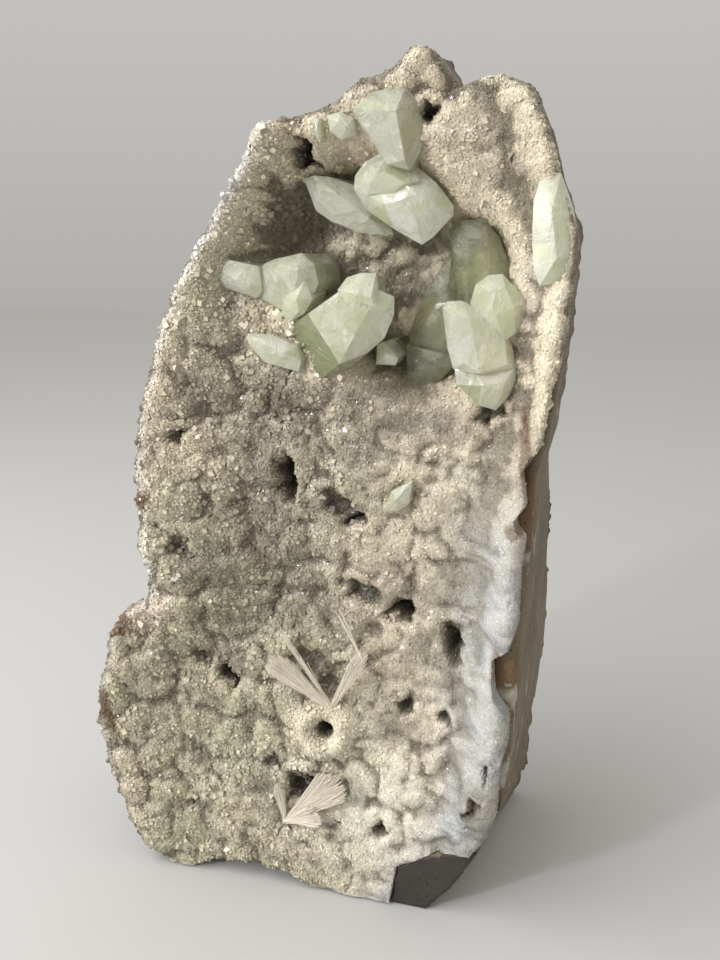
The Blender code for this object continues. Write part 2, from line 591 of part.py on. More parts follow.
def build_crystals(relief, parts, cutters):
    """All apophyllite crystals and both scolecite sprays."""
    mint = make_material("apophyllite", (0.62, 0.74, 0.64), 0.2, 0.75)
    cream = make_material("scolecite", (0.82, 0.78, 0.66), 0.45)
    druse = shifted_copy("druse_cutter", relief, -1.5 * GAP, cutters)
    groups = (
        ("apophyllite_top_group", TOP_CRYSTALS), ("apophyllite_right_group", RIGHT_CRYSTALS),
        ("apophyllite_left_group", LEFT_CRYSTALS), ("apophyllite_side_crystal", SIDE_CRYSTALS),
        ("apophyllite_rim_crystal", RIM_CRYSTALS), ("apophyllite_foot_crystal", FOOT_CRYSTALS),
        ("apophyllite_small_blade", BLADE_CRYSTALS), ("apophyllite_brow_pair", BROW_CRYSTALS),
    )
    for name, forms in groups:
        grown_together(name, forms, druse, mint, parts, cutters)
    spray("scolecite_upper_spray", UPPER_FANS, UPPER_NEEDLES, druse, cream, parts, cutters)
    spray("scolecite_lower_spray", LOWER_FANS, (), druse, cream, parts, cutters)


def main():
    clear_scene()
    parts = make_collection("apophyllite_cluster")
    cutters = make_collection("cutters")
    relief = relief_block("druse_relief", druse_face, DRUSE_STEP, DRUSE_FACES, FAR_BACK, cutters)
    bed = relief_block("crust_bed", crust_bed, BED_STEP, BED_FACES, FAR_BACK + 5 * MM, cutters)
    build_crust(relief, bed, parts, cutters)
    build_matrix(bed, parts, cutters)
    build_crystals(relief, parts, cutters)
    for piece in parts.objects:
        for vert in piece.data.vertices:
            vert.co.y -= RIM_TO_ORIGIN
    for cutter in cutters.objects:
        cutter.hide_render = True
        cutter.display_type = "WIRE"


main()
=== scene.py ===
"""Dressed apophyllite cluster: a sawn piece of basalt with an open, druse-lined vug.

The crust of fine druse is built again at a fine step from the same measures as the solid and is
covered with small crystal points.  The large apophyllite crystals, the two sprays of scolecite
needles and the basalt are built with the detail that the plain solids leave out.  All sizes are
in metres in the frame of the part: +Z up, +X to the right, +Y from the open face to the back.
"""

import logging
import math
from collections.abc import Callable, Iterator, Sequence
from dataclasses import dataclass, field
from enum import Enum, IntEnum

import bpy
import numpy as np
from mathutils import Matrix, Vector


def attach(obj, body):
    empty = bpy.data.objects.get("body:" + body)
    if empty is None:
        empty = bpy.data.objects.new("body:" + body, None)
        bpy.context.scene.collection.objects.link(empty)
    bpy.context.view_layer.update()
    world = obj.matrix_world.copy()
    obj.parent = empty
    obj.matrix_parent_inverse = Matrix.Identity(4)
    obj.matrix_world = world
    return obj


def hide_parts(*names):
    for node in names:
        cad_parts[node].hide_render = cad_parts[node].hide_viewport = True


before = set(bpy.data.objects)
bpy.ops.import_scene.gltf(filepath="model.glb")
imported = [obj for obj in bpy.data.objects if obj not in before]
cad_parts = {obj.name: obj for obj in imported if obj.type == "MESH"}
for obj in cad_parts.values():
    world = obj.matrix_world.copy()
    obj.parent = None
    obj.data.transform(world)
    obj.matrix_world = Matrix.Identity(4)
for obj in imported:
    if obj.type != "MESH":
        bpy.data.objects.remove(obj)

log = logging.getLogger("apophyllite_cluster")

MM = 0.001
RIM_TO_ORIGIN = 45.0 * MM
LEAST_THICKNESS = 0.5 * MM
Outline = Sequence[tuple[float, float]]
Colour = tuple[float, float, float]


class Pattern(IntEnum):
    """Seeds of the noises, named after what each of them lays out."""

    LARGE_LUMPS = 3
    SMALL_LUMPS = 8
    FINE_LUMPS = 31
    RUBBLE = 33
    FINE_RUBBLE = 35
    GRIT_LUMPS = 47
    GREEN = 61
    ROSE = 71
    CHILL = 73
    FINE_CHILL = 74
    PATCHES = 83
    FROST = 87
    RAGGED = 88
    FINE_RAGGED = 89
    BREAKS = 91
    FINE_BREAKS = 95
    BREAK_GRIT = 97
    STAIN_EDGE = 131
    FINE_STAIN_EDGE = 133
    STAINS = 135
    CHIPS = 137
    FINE_CHIPS = 139
    WANDER_X = 201
    WANDER_Z = 211
    PITS_X = 221
    PITS_Z = 222

# Edge of the piece seen from the open side, (x, z) in millimetres
LEFT_EDGE: Outline = (
    (-59.0, 0.0), (-66.0, 4.9), (-72.0, 15.2), (-78.0, 27.7), (-83.0, 49.2), (-84.1, 66.5),
    (-77.7, 92.8), (-70.4, 105.3), (-60.5, 111.0), (-58.5, 123.5), (-62.1, 134.8),
    (-61.7, 161.5), (-58.5, 180.1), (-54.2, 198.2), (-43.0, 226.1), (-32.9, 242.7),
    (-21.4, 261.7), (-10.4, 278.3),
)
TOP_EDGE: Outline = (
    (3.1, 281.8), (13.0, 285.1), (21.1, 290.6), (32.2, 293.6), (38.9, 299.6), (44.5, 298.5),
    (49.1, 291.8), (51.3, 287.3), (58.2, 289.3), (65.6, 290.4), (74.4, 287.4), (80.2, 274.8),
    (84.4, 260.8), (90.2, 245.1), (89.6, 234.8), (88.3, 216.0),
)
MATRIX_RIGHT_EDGE: Outline = (
    (87.0, 205.0), (84.0, 180.0), (80.5, 168.0), (80.0, 141.0), (79.0, 120.0), (77.5, 100.0),
    (77.0, 74.0), (75.5, 58.0), (74.0, 46.0), (67.0, 28.0), (58.0, 12.0), (48.0, 0.0),
)
CRUST_RIGHT_EDGE: Outline = (
    (86.5, 205.0), (84.0, 196.0), (82.3, 180.0), (76.4, 170.5), (78.4, 160.0), (74.8, 154.6),
    (79.0, 149.0), (77.8, 136.0), (77.8, 119.0), (75.5, 111.0), (69.6, 105.0), (70.8, 93.0),
    (75.8, 86.0), (76.0, 74.5), (73.8, 66.0), (73.0, 46.0), (71.5, 39.0),
)
CRUST_BOTTOM_EDGE: Outline = (
    (64.3, 27.6), (49.5, 23.1), (36.3, 16.0), (34.0, 0.6), (3.5, 0.6), (-2.0, 4.0),
    (-10.0, 6.2), (-27.0, 7.0), (-40.0, 4.5), (-46.0, 0.6), (-58.5, 0.6),
)
CRUST_OUTLINE: Outline = (*LEFT_EDGE[1:], *TOP_EDGE, *CRUST_RIGHT_EDGE, *CRUST_BOTTOM_EDGE)
RIGHT_EDGE: Outline = (*TOP_EDGE[9:], *MATRIX_RIGHT_EDGE)
# The foot is left open far below the piece, so that it does not count as an edge
MATRIX_OUTLINE: Outline = ((-300.0, -300.0), *LEFT_EDGE, *TOP_EDGE, *MATRIX_RIGHT_EDGE,
                           (300.0, -300.0))


def smooth(t: np.ndarray) -> np.ndarray:
    """Smooth step from 0 to 1."""
    t = np.clip(t, 0.0, 1.0)
    return t * t * (3.0 - 2.0 * t)


def fade(value: np.ndarray, start: float, width: float) -> np.ndarray:
    """1 up to a start, then down to 0 over a width."""
    return 1.0 - smooth((value - start) / width)


def bell(t: np.ndarray) -> np.ndarray:
    """Bell curve: 1 at 0, and close to 0 beyond 2 on either side."""
    return np.exp(-(t**2))


def unit(rows: np.ndarray) -> np.ndarray:
    """Rows scaled to length 1."""
    return rows / np.linalg.norm(rows, axis=1)[:, None]


def from_rim(places: Sequence) -> np.ndarray:
    """Places (x, depth behind the rim plane, z) in millimetres, in the frame of the part."""
    return np.array(places) * MM - np.array([0.0, RIM_TO_ORIGIN, 0.0])


def scatter(i: np.ndarray, j: np.ndarray, seed: int) -> np.ndarray:
    """Repeatable values from 0 to 1 for whole-numbered cells."""
    n = (i * 374761393 + j * 668265263 + seed * 974634777) & 0xFFFFFFFF
    n = ((n ^ (n >> 13)) * 1274126177) & 0xFFFFFFFF
    return ((n ^ (n >> 16)) & 0xFFFFFF) / float(0xFFFFFF)


def lumps(x: np.ndarray, z: np.ndarray, cell: float, seed: int) -> np.ndarray:
    """Rounded lumps of about one cell each, from 0 in the creases to 1 on the crowns."""
    i = np.floor(x / cell).astype(np.int64)
    j = np.floor(z / cell).astype(np.int64)
    height = np.zeros_like(x)
    for di in (-1, 0, 1):
        for dj in (-1, 0, 1):
            cx = (i + di + 0.15 + 0.7 * scatter(i + di, j + dj, seed)) * cell
            cz = (j + dj + 0.15 + 0.7 * scatter(i + di, j + dj, seed + 1)) * cell
            radius = cell * (0.55 + 0.45 * scatter(i + di, j + dj, seed + 2))
            away = ((x - cx) ** 2 + (z - cz) ** 2) / radius**2
            height = np.maximum(height, np.clip(1.0 - away, 0.0, 1.0) ** 0.8)
    return height


def clouds(x: np.ndarray, z: np.ndarray, cell: float, seed: int) -> np.ndarray:
    """Soft noise from 0 to 1 that changes over about one cell."""
    u, v = x / cell, z / cell
    i, j = np.floor(u).astype(np.int64), np.floor(v).astype(np.int64)
    s, t = smooth(u - i), smooth(v - j)
    low = scatter(i, j, seed) * (1.0 - s) + scatter(i + 1, j, seed) * s
    high = scatter(i, j + 1, seed) * (1.0 - s) + scatter(i + 1, j + 1, seed) * s
    return low * (1.0 - t) + high * t


def ellipse_distance(x: np.ndarray, z: np.ndarray, place: Sequence[float]) -> np.ndarray:
    """Distance from the middle of an ellipse (x, z, rx, rz in millimetres) in its own radii."""
    cx, cz, rx, rz = place[:4]
    return np.hypot((x / MM - cx) / rx, (z / MM - cz) / rz)


def edge_x(z: np.ndarray, points: Outline) -> np.ndarray:
    """X of an edge at heights z; the points are (x, z) in millimetres."""
    ordered = sorted((b * MM, a * MM) for a, b in points)
    return np.interp(z, [p[0] for p in ordered], [p[1] for p in ordered])


def nearest_on_ring(x: np.ndarray, z: np.ndarray, ring: np.ndarray) -> tuple[np.ndarray, ...]:
    """Distance to a closed ring and the nearest point on it.

    Args:
        x: X of the points.
        z: Z of the points.
        ring: Corners of the ring, one (x, z) row each.

    Returns:
        The distance, and X and Z of the nearest point.
    """
    near = np.full_like(x, 1.0)
    foot_x, foot_z = x.copy(), z.copy()
    for a, b in zip(ring, np.roll(ring, -1, axis=0)):
        run = b - a
        t = np.clip(((x - a[0]) * run[0] + (z - a[1]) * run[1]) / (run @ run), 0.0, 1.0)
        px, pz = a[0] + t * run[0], a[1] + t * run[1]
        away = np.hypot(x - px, z - pz)
        closer = away < near
        near = np.where(closer, away, near)
        foot_x = np.where(closer, px, foot_x)
        foot_z = np.where(closer, pz, foot_z)
    return near, foot_x, foot_z


def inside_ring(x: np.ndarray, z: np.ndarray, ring: np.ndarray) -> np.ndarray:
    """True for the points inside a closed ring."""
    inside = np.zeros(x.shape, bool)
    for a, b in zip(ring, np.roll(ring, -1, axis=0)):
        if a[1] == b[1]:
            continue
        crosses = (a[1] > z) != (b[1] > z)
        at = a[0] + (z - a[1]) * (b[0] - a[0]) / (b[1] - a[1])
        inside ^= crosses & (x < at)
    return inside


@dataclass(frozen=True)
class VugForm:
    """Measures of the open face in millimetres.

    The outline, depths, basins, tube and ridge are those of the solid, and its larger lumps
    have the same places.  The fine lumps, the rubble and the creases are in the druse alone.
    """

    heights: Sequence[float] = (
        0.0, 15.0, 30.0, 60.0, 90.0, 130.0, 165.0, 185.0, 200.0, 225.0, 260.0, 290.0, 300.0)
    depths: Sequence[float] = (
        3.0, 4.0, 6.0, 10.0, 13.0, 16.0, 15.0, 15.0, 13.0, 11.0, 12.0, 5.0, 0.0)
    left_slopes: Sequence[float] = (
        24.0, 30.0, 36.0, 44.0, 48.0, 46.0, 44.0, 42.0, 38.0, 26.0, 17.0, 14.0, 14.0)
    right_wall: float = 16.0
    rim_rounding: float = 4.0
    crust_thickness: float = 4.5
    # Rows of x, z, rx, rz and depth
    basins: Sequence[tuple[float, ...]] = (
        (16.0, 243.0, 50.0, 37.0, 40.0), (38.0, 212.0, 36.0, 30.0, 32.0),
        (55.0, 234.0, 22.0, 27.0, 22.0))
    # Rows of x, z and radius, where a crystal or a spray stands on the druse
    calm_places: Sequence[tuple[float, ...]] = (
        (9.5, 75.5, 6.0), (-8.0, 27.0, 6.0), (84.0, 246.0, 14.0), (15.0, 278.0, 6.0),
        (33.0, 276.0, 8.0), (25.0, 105.0, 4.0), (34.0, 157.0, 5.0), (-10.0, 206.0, 8.0),
        (-25.0, 230.0, 8.0))
    # Rows of x, z, rx, rz, depth and lean in degrees
    pits: Sequence[tuple[float, ...]] = (
        (-8.3, 159.2, 5.5, 10.0, 14.0, 10.0), (11.0, 151.0, 7.0, 5.0, 6.0, -35.0),
        (17.0, 146.0, 3.5, 4.5, 9.0, 0.0), (35.0, 113.0, 6.5, 4.2, 12.0, 20.0),
        (19.0, 119.5, 8.5, 4.5, 5.0, -15.0), (53.5, 103.0, 5.0, 7.5, 12.0, 0.0),
        (-33.0, 79.5, 4.5, 5.0, 11.0, 0.0), (-43.0, 87.0, 6.0, 5.0, 4.0, 0.0),
        (-2.6, 39.0, 6.5, 7.5, 9.0, 0.0), (-14.0, 48.5, 6.0, 4.0, 4.0, 0.0),
        (29.5, 27.5, 3.0, 4.5, 7.0, 0.0), (38.6, 77.0, 4.5, 4.0, 7.0, 0.0),
        (-46.0, 175.5, 3.5, 3.5, 6.0, 0.0), (63.0, 187.5, 6.0, 4.0, 7.0, 15.0),
        (-0.5, 271.0, 5.0, 6.0, 15.0, 0.0), (42.5, 281.0, 4.0, 3.5, 10.0, 0.0),
        (64.0, 47.0, 2.6, 4.5, 6.0, -25.0), (68.6, 63.0, 2.6, 3.5, 5.0, 0.0),
        (-47.0, 132.0, 5.0, 6.0, 4.0, 0.0), (52.0, 75.5, 2.4, 4.0, 5.0, 0.0),
        (3.0, 87.0, 15.0, 9.0, 3.5, 0.0), (8.0, 42.0, 11.0, 9.0, 2.5, 30.0))
    # x, z, radius, width and height of its lip, then radius and depth of its bore
    tube: tuple[float, ...] = (7.0, 65.5, 7.6, 4.2, 6.5, 3.6, 13.0)
    # Distance from the right edge, width, height, lower and upper end
    ridge: tuple[float, ...] = (10.0, 8.0, 8.0, 25.0, 165.0)
    # Rows of size, height and seed
    solid_lumps: Sequence[tuple[float, float, int]] = (
        (13.0, 2.6, Pattern.LARGE_LUMPS), (6.5, 1.3, Pattern.SMALL_LUMPS))
    fine_lumps: Sequence[tuple[float, float, int]] = (
        (3.8, 0.8, Pattern.FINE_LUMPS), (2.0, 0.3, Pattern.GRIT_LUMPS))
    rubble: Sequence[tuple[float, float, int]] = (
        (5.5, 1.0, Pattern.RUBBLE), (2.6, 0.4, Pattern.FINE_RUBBLE))
    pit_wander: float = 5.0
    pit_ragged: float = 3.6
    pit_spread: float = 2.5
    # Depth at which a pit is painted fully dark, as painted shade
    full_shade_depth: float = 9.0
    crease_depth: float = 0.3
    under_tips: float = 0.5
    # Rows of size and reach
    wander: Sequence[tuple[float, float]] = ((11.0, 3.0), (4.5, 1.3))

    def edges(self, z: np.ndarray) -> tuple[np.ndarray, np.ndarray]:
        """X of the left and of the right edge at heights z."""
        return edge_x(z, LEFT_EDGE), edge_x(z, RIGHT_EDGE)

    def rim_distance(self, x: np.ndarray, z: np.ndarray) -> np.ndarray:
        """Distance to the edge of the piece, seen from the open side, its foot left out."""
        return nearest_on_ring(x, z, np.array(MATRIX_OUTLINE) * MM)[0]

    def pit_shade_share(self, x: np.ndarray, z: np.ndarray) -> np.ndarray:
        """Share of painted shade: 1 in the middle of a pit or of the tube's bore, 0 away from them.
        """
        share = np.zeros_like(x)
        for depth, away in self.pit_distances(x, z, 0.0):
            share = np.maximum(share, min(1.0, depth / self.full_shade_depth) * fade(away, 0.3, 0.8))
        cx, cz, _, _, _, bore, _ = self.tube
        away = np.hypot(x / MM - cx, z / MM - cz)
        return np.maximum(share, fade(away, 0.6 * bore, 0.7 * bore))

    def pit_distances(self, x: np.ndarray, z: np.ndarray,
                      spread: float) -> Iterator[tuple[float, np.ndarray]]:
        """Depth of each pit and the distance from its middle as a share of its radius."""
        x = x + self.pit_wander * MM * (clouds(x, z, self.pit_ragged * MM, Pattern.PITS_X) - 0.5)
        z = z + self.pit_wander * MM * (clouds(x, z, self.pit_ragged * MM, Pattern.PITS_Z) - 0.5)
        for cx, cz, rx, rz, depth, lean in self.pits:
            c, s = math.cos(math.radians(lean)), math.sin(math.radians(lean))
            u = (x / MM - cx) * c + (z / MM - cz) * s
            v = -(x / MM - cx) * s + (z / MM - cz) * c
            yield depth, np.hypot(u / (rx + spread), v / (rz + spread))

    def open_face(self, x: np.ndarray, z: np.ndarray, spread: float = 0.0) -> np.ndarray:
        """Depth y of the vug behind the rim plane, without its small lumps.

        Args:
            x: X of the points.
            z: Z of the points.
            spread: Millimetres by which the pits are widened.

        Returns:
            The depth y at each point, still measured from the rim plane.
        """
        left, right = self.edges(z)
        heights = np.array(self.heights) * MM
        y = np.interp(z, heights, np.array(self.depths) * MM)
        slope = np.interp(z, heights, np.array(self.left_slopes) * MM)
        y = y * smooth((x - left) / slope) * smooth((right - x) / (self.right_wall * MM))
        for *place, depth in self.basins:
            away = ellipse_distance(x, z, place)
            basin = depth * MM * fade(away, 0.35, 0.65)
            y = np.where(basin > 0.0, np.hypot(y, basin), y)
        back, width, height, low, high = self.ridge
        along = smooth((z / MM - low) / 20.0) * smooth((high - z / MM) / 20.0)
        y = y - height * MM * along * bell(((right - x) / MM - back) / width)
        inset = 1.0 - self.rim_distance(x, z) / (1.5 * self.rim_rounding * MM)
        inset = np.clip(inset, 0.0, 1.0)
        y = y + self.rim_rounding * MM * (1.0 - np.sqrt(1.0 - 0.88 * inset**2))
        for depth, away in self.pit_distances(x, z, spread):
            y = y + depth * MM * fade(away, 0.25, 0.9)
        cx, cz, radius, width, height, bore, depth = self.tube
        away = np.hypot(x / MM - cx, z / MM - cz)
        y = y - height * MM * bell((away - radius) / width)
        return y + depth * MM * fade(away, 0.4 * bore, 0.9 * bore + spread)

    def wandered(self, x: np.ndarray, z: np.ndarray) -> tuple[np.ndarray, np.ndarray]:
        """Places moved a little from side to side, so that no crease runs straight."""
        for number, (cell, reach) in enumerate(self.wander):
            drift_x = clouds(x, z, cell * MM, Pattern.WANDER_X + number) - 0.5
            drift_z = clouds(x, z, cell * MM, Pattern.WANDER_Z + number) - 0.5
            x, z = x + 2.0 * reach * MM * drift_x, z + 2.0 * reach * MM * drift_z
        return x, z

    def calm_share(self, x: np.ndarray) -> np.ndarray:
        """1 on the right of the piece, where the druse is smooth, 0 on the left."""
        return smooth((x / MM + 10.0) / 45.0)

    def crown_share(self, x: np.ndarray, z: np.ndarray) -> np.ndarray:
        """1 on the crowns of the lumps, 0 in the creases between them."""
        x, z = self.wandered(x, z)
        big, small = (lumps(x, z, cell * MM, seed) for cell, _, seed in self.solid_lumps)
        return 0.5 * big + 0.5 * small

    def druse_face(self, x: np.ndarray, z: np.ndarray) -> np.ndarray:
        """Depth y of the druse under its points, in the frame of the part."""
        y = self.open_face(x, z)
        lively = np.ones_like(x)
        for cx, cz, radius in self.calm_places:
            away = np.hypot(x / MM - cx, z / MM - cz)
            lively = lively * (1.0 - 0.85 * bell(away / radius))
        u, v = self.wandered(x, z)
        for cell, height, seed in self.solid_lumps:
            y = y - height * MM * lively * lumps(u, v, cell * MM, seed)
        lively = lively * (1.0 - 0.4 * self.calm_share(x))
        for cell, height, seed in self.fine_lumps:
            y = y - height * MM * lively * lumps(u, v, cell * MM, seed)
        for cell, height, seed in self.rubble:
            turned = 0.8 * u + 0.6 * v, 0.8 * v - 0.6 * u
            y = y - height * MM * lively * (clouds(*turned, cell * MM, seed) - 0.5)
        crease = fade(self.crown_share(x, z), 0.25, 0.45)
        y = y + self.crease_depth * MM * lively * crease
        return y + self.under_tips * MM - RIM_TO_ORIGIN

    def crust_bed(self, x: np.ndarray, z: np.ndarray) -> np.ndarray:
        """Depth y of the back of the crust, in the frame of the part."""
        bed = self.open_face(x, z, spread=self.pit_spread)
        return bed + self.crust_thickness * MM - RIM_TO_ORIGIN


@dataclass
class ReliefMap:
    """Even map of the druse that tells how hollow each place is."""

    form: VugForm
    step: float = 0.8 * MM
    low: tuple[float, float] = (-95.0 * MM, -6.0 * MM)
    high: tuple[float, float] = (97.0 * MM, 306.0 * MM)
    # Rows of blur width, share of the whole and depth that counts as full, in millimetres
    widths: Sequence[tuple[float, float, float]] = (
        (1.6, 0.35, 0.6), (4.5, 0.7, 1.7), (12.0, 0.45, 5.0))

    def __post_init__(self) -> None:
        """Work out the hollow share over the whole map."""
        x = np.arange(self.low[0], self.high[0], self.step)
        z = np.arange(self.low[1], self.high[1], self.step)
        grid_x, grid_z = np.meshgrid(x, z)
        y = self.form.druse_face(grid_x.ravel(), grid_z.ravel()).reshape(grid_x.shape)
        self.hollow = np.zeros_like(y)
        for width, share, full in self.widths:
            deeper = (y - self.soften(y, width * MM)) / (full * MM)
            self.hollow += share * np.clip(deeper, -1.0, 1.0)

    def soften(self, values: np.ndarray, width: float) -> np.ndarray:
        """Blur a map by a bell curve of that width in metres."""
        reach = int(3.0 * width / self.step) + 1
        bell = np.exp(-0.5 * (np.arange(-reach, reach + 1) * self.step / width) ** 2)
        bell /= bell.sum()
        padded = np.pad(values, reach, mode="edge")
        across = np.apply_along_axis(np.convolve, 0, padded, bell, mode="valid")
        return np.apply_along_axis(np.convolve, 1, across, bell, mode="valid")

    def hollow_at(self, x: np.ndarray, z: np.ndarray) -> np.ndarray:
        """Hollow share at places: above 0 in creases and pits, below 0 on crowns."""
        u = np.clip((x - self.low[0]) / self.step, 0.0, self.hollow.shape[1] - 1.001)
        v = np.clip((z - self.low[1]) / self.step, 0.0, self.hollow.shape[0] - 1.001)
        i, j = u.astype(int), v.astype(int)
        s, t = u - i, v - j
        low = self.hollow[j, i] * (1.0 - s) + self.hollow[j, i + 1] * s
        high = self.hollow[j + 1, i] * (1.0 - s) + self.hollow[j + 1, i + 1] * s
        return low * (1.0 - t) + high * t


def read_values(items: Sequence, name: str, width: int = 1, kind: type = float) -> np.ndarray:
    """Values of one property of all items of a mesh, one row for each item."""
    values = np.empty(width * len(items), kind)
    items.foreach_get(name, values)
    return values.reshape(-1, width) if width > 1 else values


def read_points(mesh: bpy.types.Mesh) -> np.ndarray:
    """Vertex places of a mesh, one row each."""
    return read_values(mesh.vertices, "co", 3)


def write_points(mesh: bpy.types.Mesh, co: np.ndarray) -> None:
    """Set the vertex places of a mesh."""
    mesh.vertices.foreach_set("co", np.ascontiguousarray(co, float).ravel())
    mesh.update()


def colour_points(mesh: bpy.types.Mesh, name: str, rgb: np.ndarray) -> None:
    """Store one colour for each vertex under an attribute name."""
    layer = mesh.attributes.new(name, "FLOAT_COLOR", "POINT")
    rgba = np.ones((len(rgb), 4))
    rgba[:, :3] = rgb
    layer.data.foreach_set("color", rgba.astype(np.float32).ravel())


def face_points(mesh: bpy.types.Mesh, name: str, ways: np.ndarray) -> None:
    """Store one direction for each vertex under an attribute name."""
    layer = mesh.attributes.new(name, "FLOAT_VECTOR", "POINT")
    layer.data.foreach_set("vector", np.ascontiguousarray(ways, np.float32).ravel())


def put(name: str, data: bpy.types.ID) -> bpy.types.Object:
    """New object with that data, linked to the scene."""
    thing = bpy.data.objects.new(name, data)
    bpy.context.scene.collection.objects.link(thing)
    return thing


def discard(thing: bpy.types.Object) -> None:
    """Remove an object and its mesh."""
    mesh = thing.data
    bpy.data.objects.remove(thing)
    bpy.data.meshes.remove(mesh)


def deselect_all() -> None:
    """Leave edit mode and select nothing."""
    if bpy.context.object is not None and bpy.context.object.mode != "OBJECT":
        bpy.ops.object.mode_set(mode="OBJECT")
    bpy.ops.object.select_all(action="DESELECT")


def pick(piece: bpy.types.Object) -> None:
    """Make one object the selected and active one."""
    deselect_all()
    piece.select_set(True)
    bpy.context.view_layer.objects.active = piece


def apply_all(piece: bpy.types.Object) -> None:
    """Apply all modifiers of an object in order."""
    pick(piece)
    for modifier in list(piece.modifiers):
        bpy.ops.object.modifier_apply(modifier=modifier.name)


def edit_all(*steps: Callable[[], object]) -> None:
    """Run steps of edit mode on the active object, each with all of it selected."""
    bpy.ops.object.mode_set(mode="EDIT")
    for step in steps:
        bpy.ops.mesh.select_all(action="SELECT")
        step()
    bpy.ops.object.mode_set(mode="OBJECT")


def face_outwards() -> None:
    """Turn the selected faces of the mesh in edit mode outwards."""
    bpy.ops.mesh.normals_make_consistent(inside=False)


def mesh_from_arrays(name: str, points: np.ndarray, faces: np.ndarray) -> bpy.types.Object:
    """Object with a flat-shaded mesh, such as one of many small closed forms.

    Args:
        name: Name of the object.
        points: One (x, y, z) row for each vertex.
        faces: One row of vertex numbers for each face.

    Returns:
        The new object, linked to the scene.
    """
    mesh = bpy.data.meshes.new(name)
    mesh.vertices.add(len(points))
    mesh.vertices.foreach_set("co", np.ascontiguousarray(points, float).ravel())
    mesh.loops.add(faces.size)
    mesh.loops.foreach_set("vertex_index", faces.astype(np.int32).ravel())
    mesh.polygons.add(len(faces))
    mesh.polygons.foreach_set("loop_start", np.arange(0, faces.size, faces.shape[1], np.int32))
    mesh.update(calc_edges=True)
    mesh.shade_flat()
    return put(name, mesh)


def settled(name: str, piece: bpy.types.Object) -> bpy.types.Object:
    """Replace a piece of four-sided faces by the same one in an order that never changes.

    Edit mode leaves vertices and faces in another order each run, and what is drawn by lot
    over them would change with it.

    Args:
        name: Name of the new piece.
        piece: The piece to replace.

    Returns:
        The new piece.
    """
    co = read_points(piece.data)
    faces = read_values(piece.data.polygons, "vertices", 4, np.int32)
    discard(piece)
    order = np.lexsort(co.T)
    faces = np.argsort(order)[faces]
    turned = (faces.argmin(axis=1)[:, None] + np.arange(4)) % 4
    faces = np.take_along_axis(faces, turned, axis=1)
    return mesh_from_arrays(name, co[order], faces[np.lexsort(faces.T)])


def outline_sheet(name: str, outline: Outline, step: float) -> bpy.types.Object:
    """Flat grid in the XZ plane, cut to an outline.

    Args:
        name: Name of the object.
        outline: Corners (x, z) in millimetres.
        step: Width of one face in metres.

    Returns:
        The sheet, with its border on the outline.
    """
    ring = np.array(outline) * MM
    low, high = ring.min(axis=0) - 2.0 * step, ring.max(axis=0) + 2.0 * step
    columns, rows = np.round((high - low) / step).astype(int)
    deselect_all()
    bpy.ops.mesh.primitive_grid_add(x_subdivisions=int(columns), y_subdivisions=int(rows), size=1.0)
    sheet = bpy.context.object
    sheet.name = sheet.data.name = name
    co = read_points(sheet.data)
    x = low[0] + (co[:, 0] + 0.5) * (high[0] - low[0])
    z = low[1] + (co[:, 1] + 0.5) * (high[1] - low[1])
    inside = inside_ring(x, z, ring)
    near, foot_x, foot_z = nearest_on_ring(x, z, ring)
    snapped = ~inside | (near < 0.3 * step)
    x, z = np.where(snapped, foot_x, x), np.where(snapped, foot_z, z)
    write_points(sheet.data, np.stack([x, np.zeros_like(x), z], axis=1))
    corners = read_values(sheet.data.polygons, "vertices", 4, np.int32)
    within = inside & ~snapped
    dropped = ~within[corners].any(axis=1)
    sheet.data.polygons.foreach_set("select", dropped)
    bpy.context.tool_settings.mesh_select_mode = (False, False, True)
    bpy.ops.object.mode_set(mode="EDIT")
    bpy.ops.mesh.delete(type="FACE")
    bpy.ops.object.mode_set(mode="OBJECT")
    return sheet


def thicken(sheet: bpy.types.Object, front: Callable, back: Callable) -> None:
    """Turn a flat sheet into a closed slab between two reliefs.

    Args:
        sheet: The sheet in the XZ plane.
        front: Depth y of the front at (x, z).
        back: Depth y of the back at (x, z), kept behind the front by a least thickness.
    """
    pick(sheet)
    bpy.context.tool_settings.mesh_select_mode = (True, False, False)
    edit_all(lambda: bpy.ops.mesh.extrude_region_move(
        TRANSFORM_OT_translate={"value": (0.0, 0.01, 0.0)}))
    moved = read_values(sheet.data.vertices, "select", kind=bool)
    co = read_points(sheet.data)
    near, far = front(co[:, 0], co[:, 2]), back(co[:, 0], co[:, 2])
    co[:, 1] = np.where(moved, np.maximum(far, near + LEAST_THICKNESS), near)
    write_points(sheet.data, co)
    edit_all(face_outwards)


def blend_colours(base: np.ndarray, colour: Colour, share: np.ndarray) -> np.ndarray:
    """Mix a colour into an array of colours by a share for each row."""
    share = np.clip(share, 0.0, 1.0)[:, None]
    return base * (1.0 - share) + np.array(colour) * share


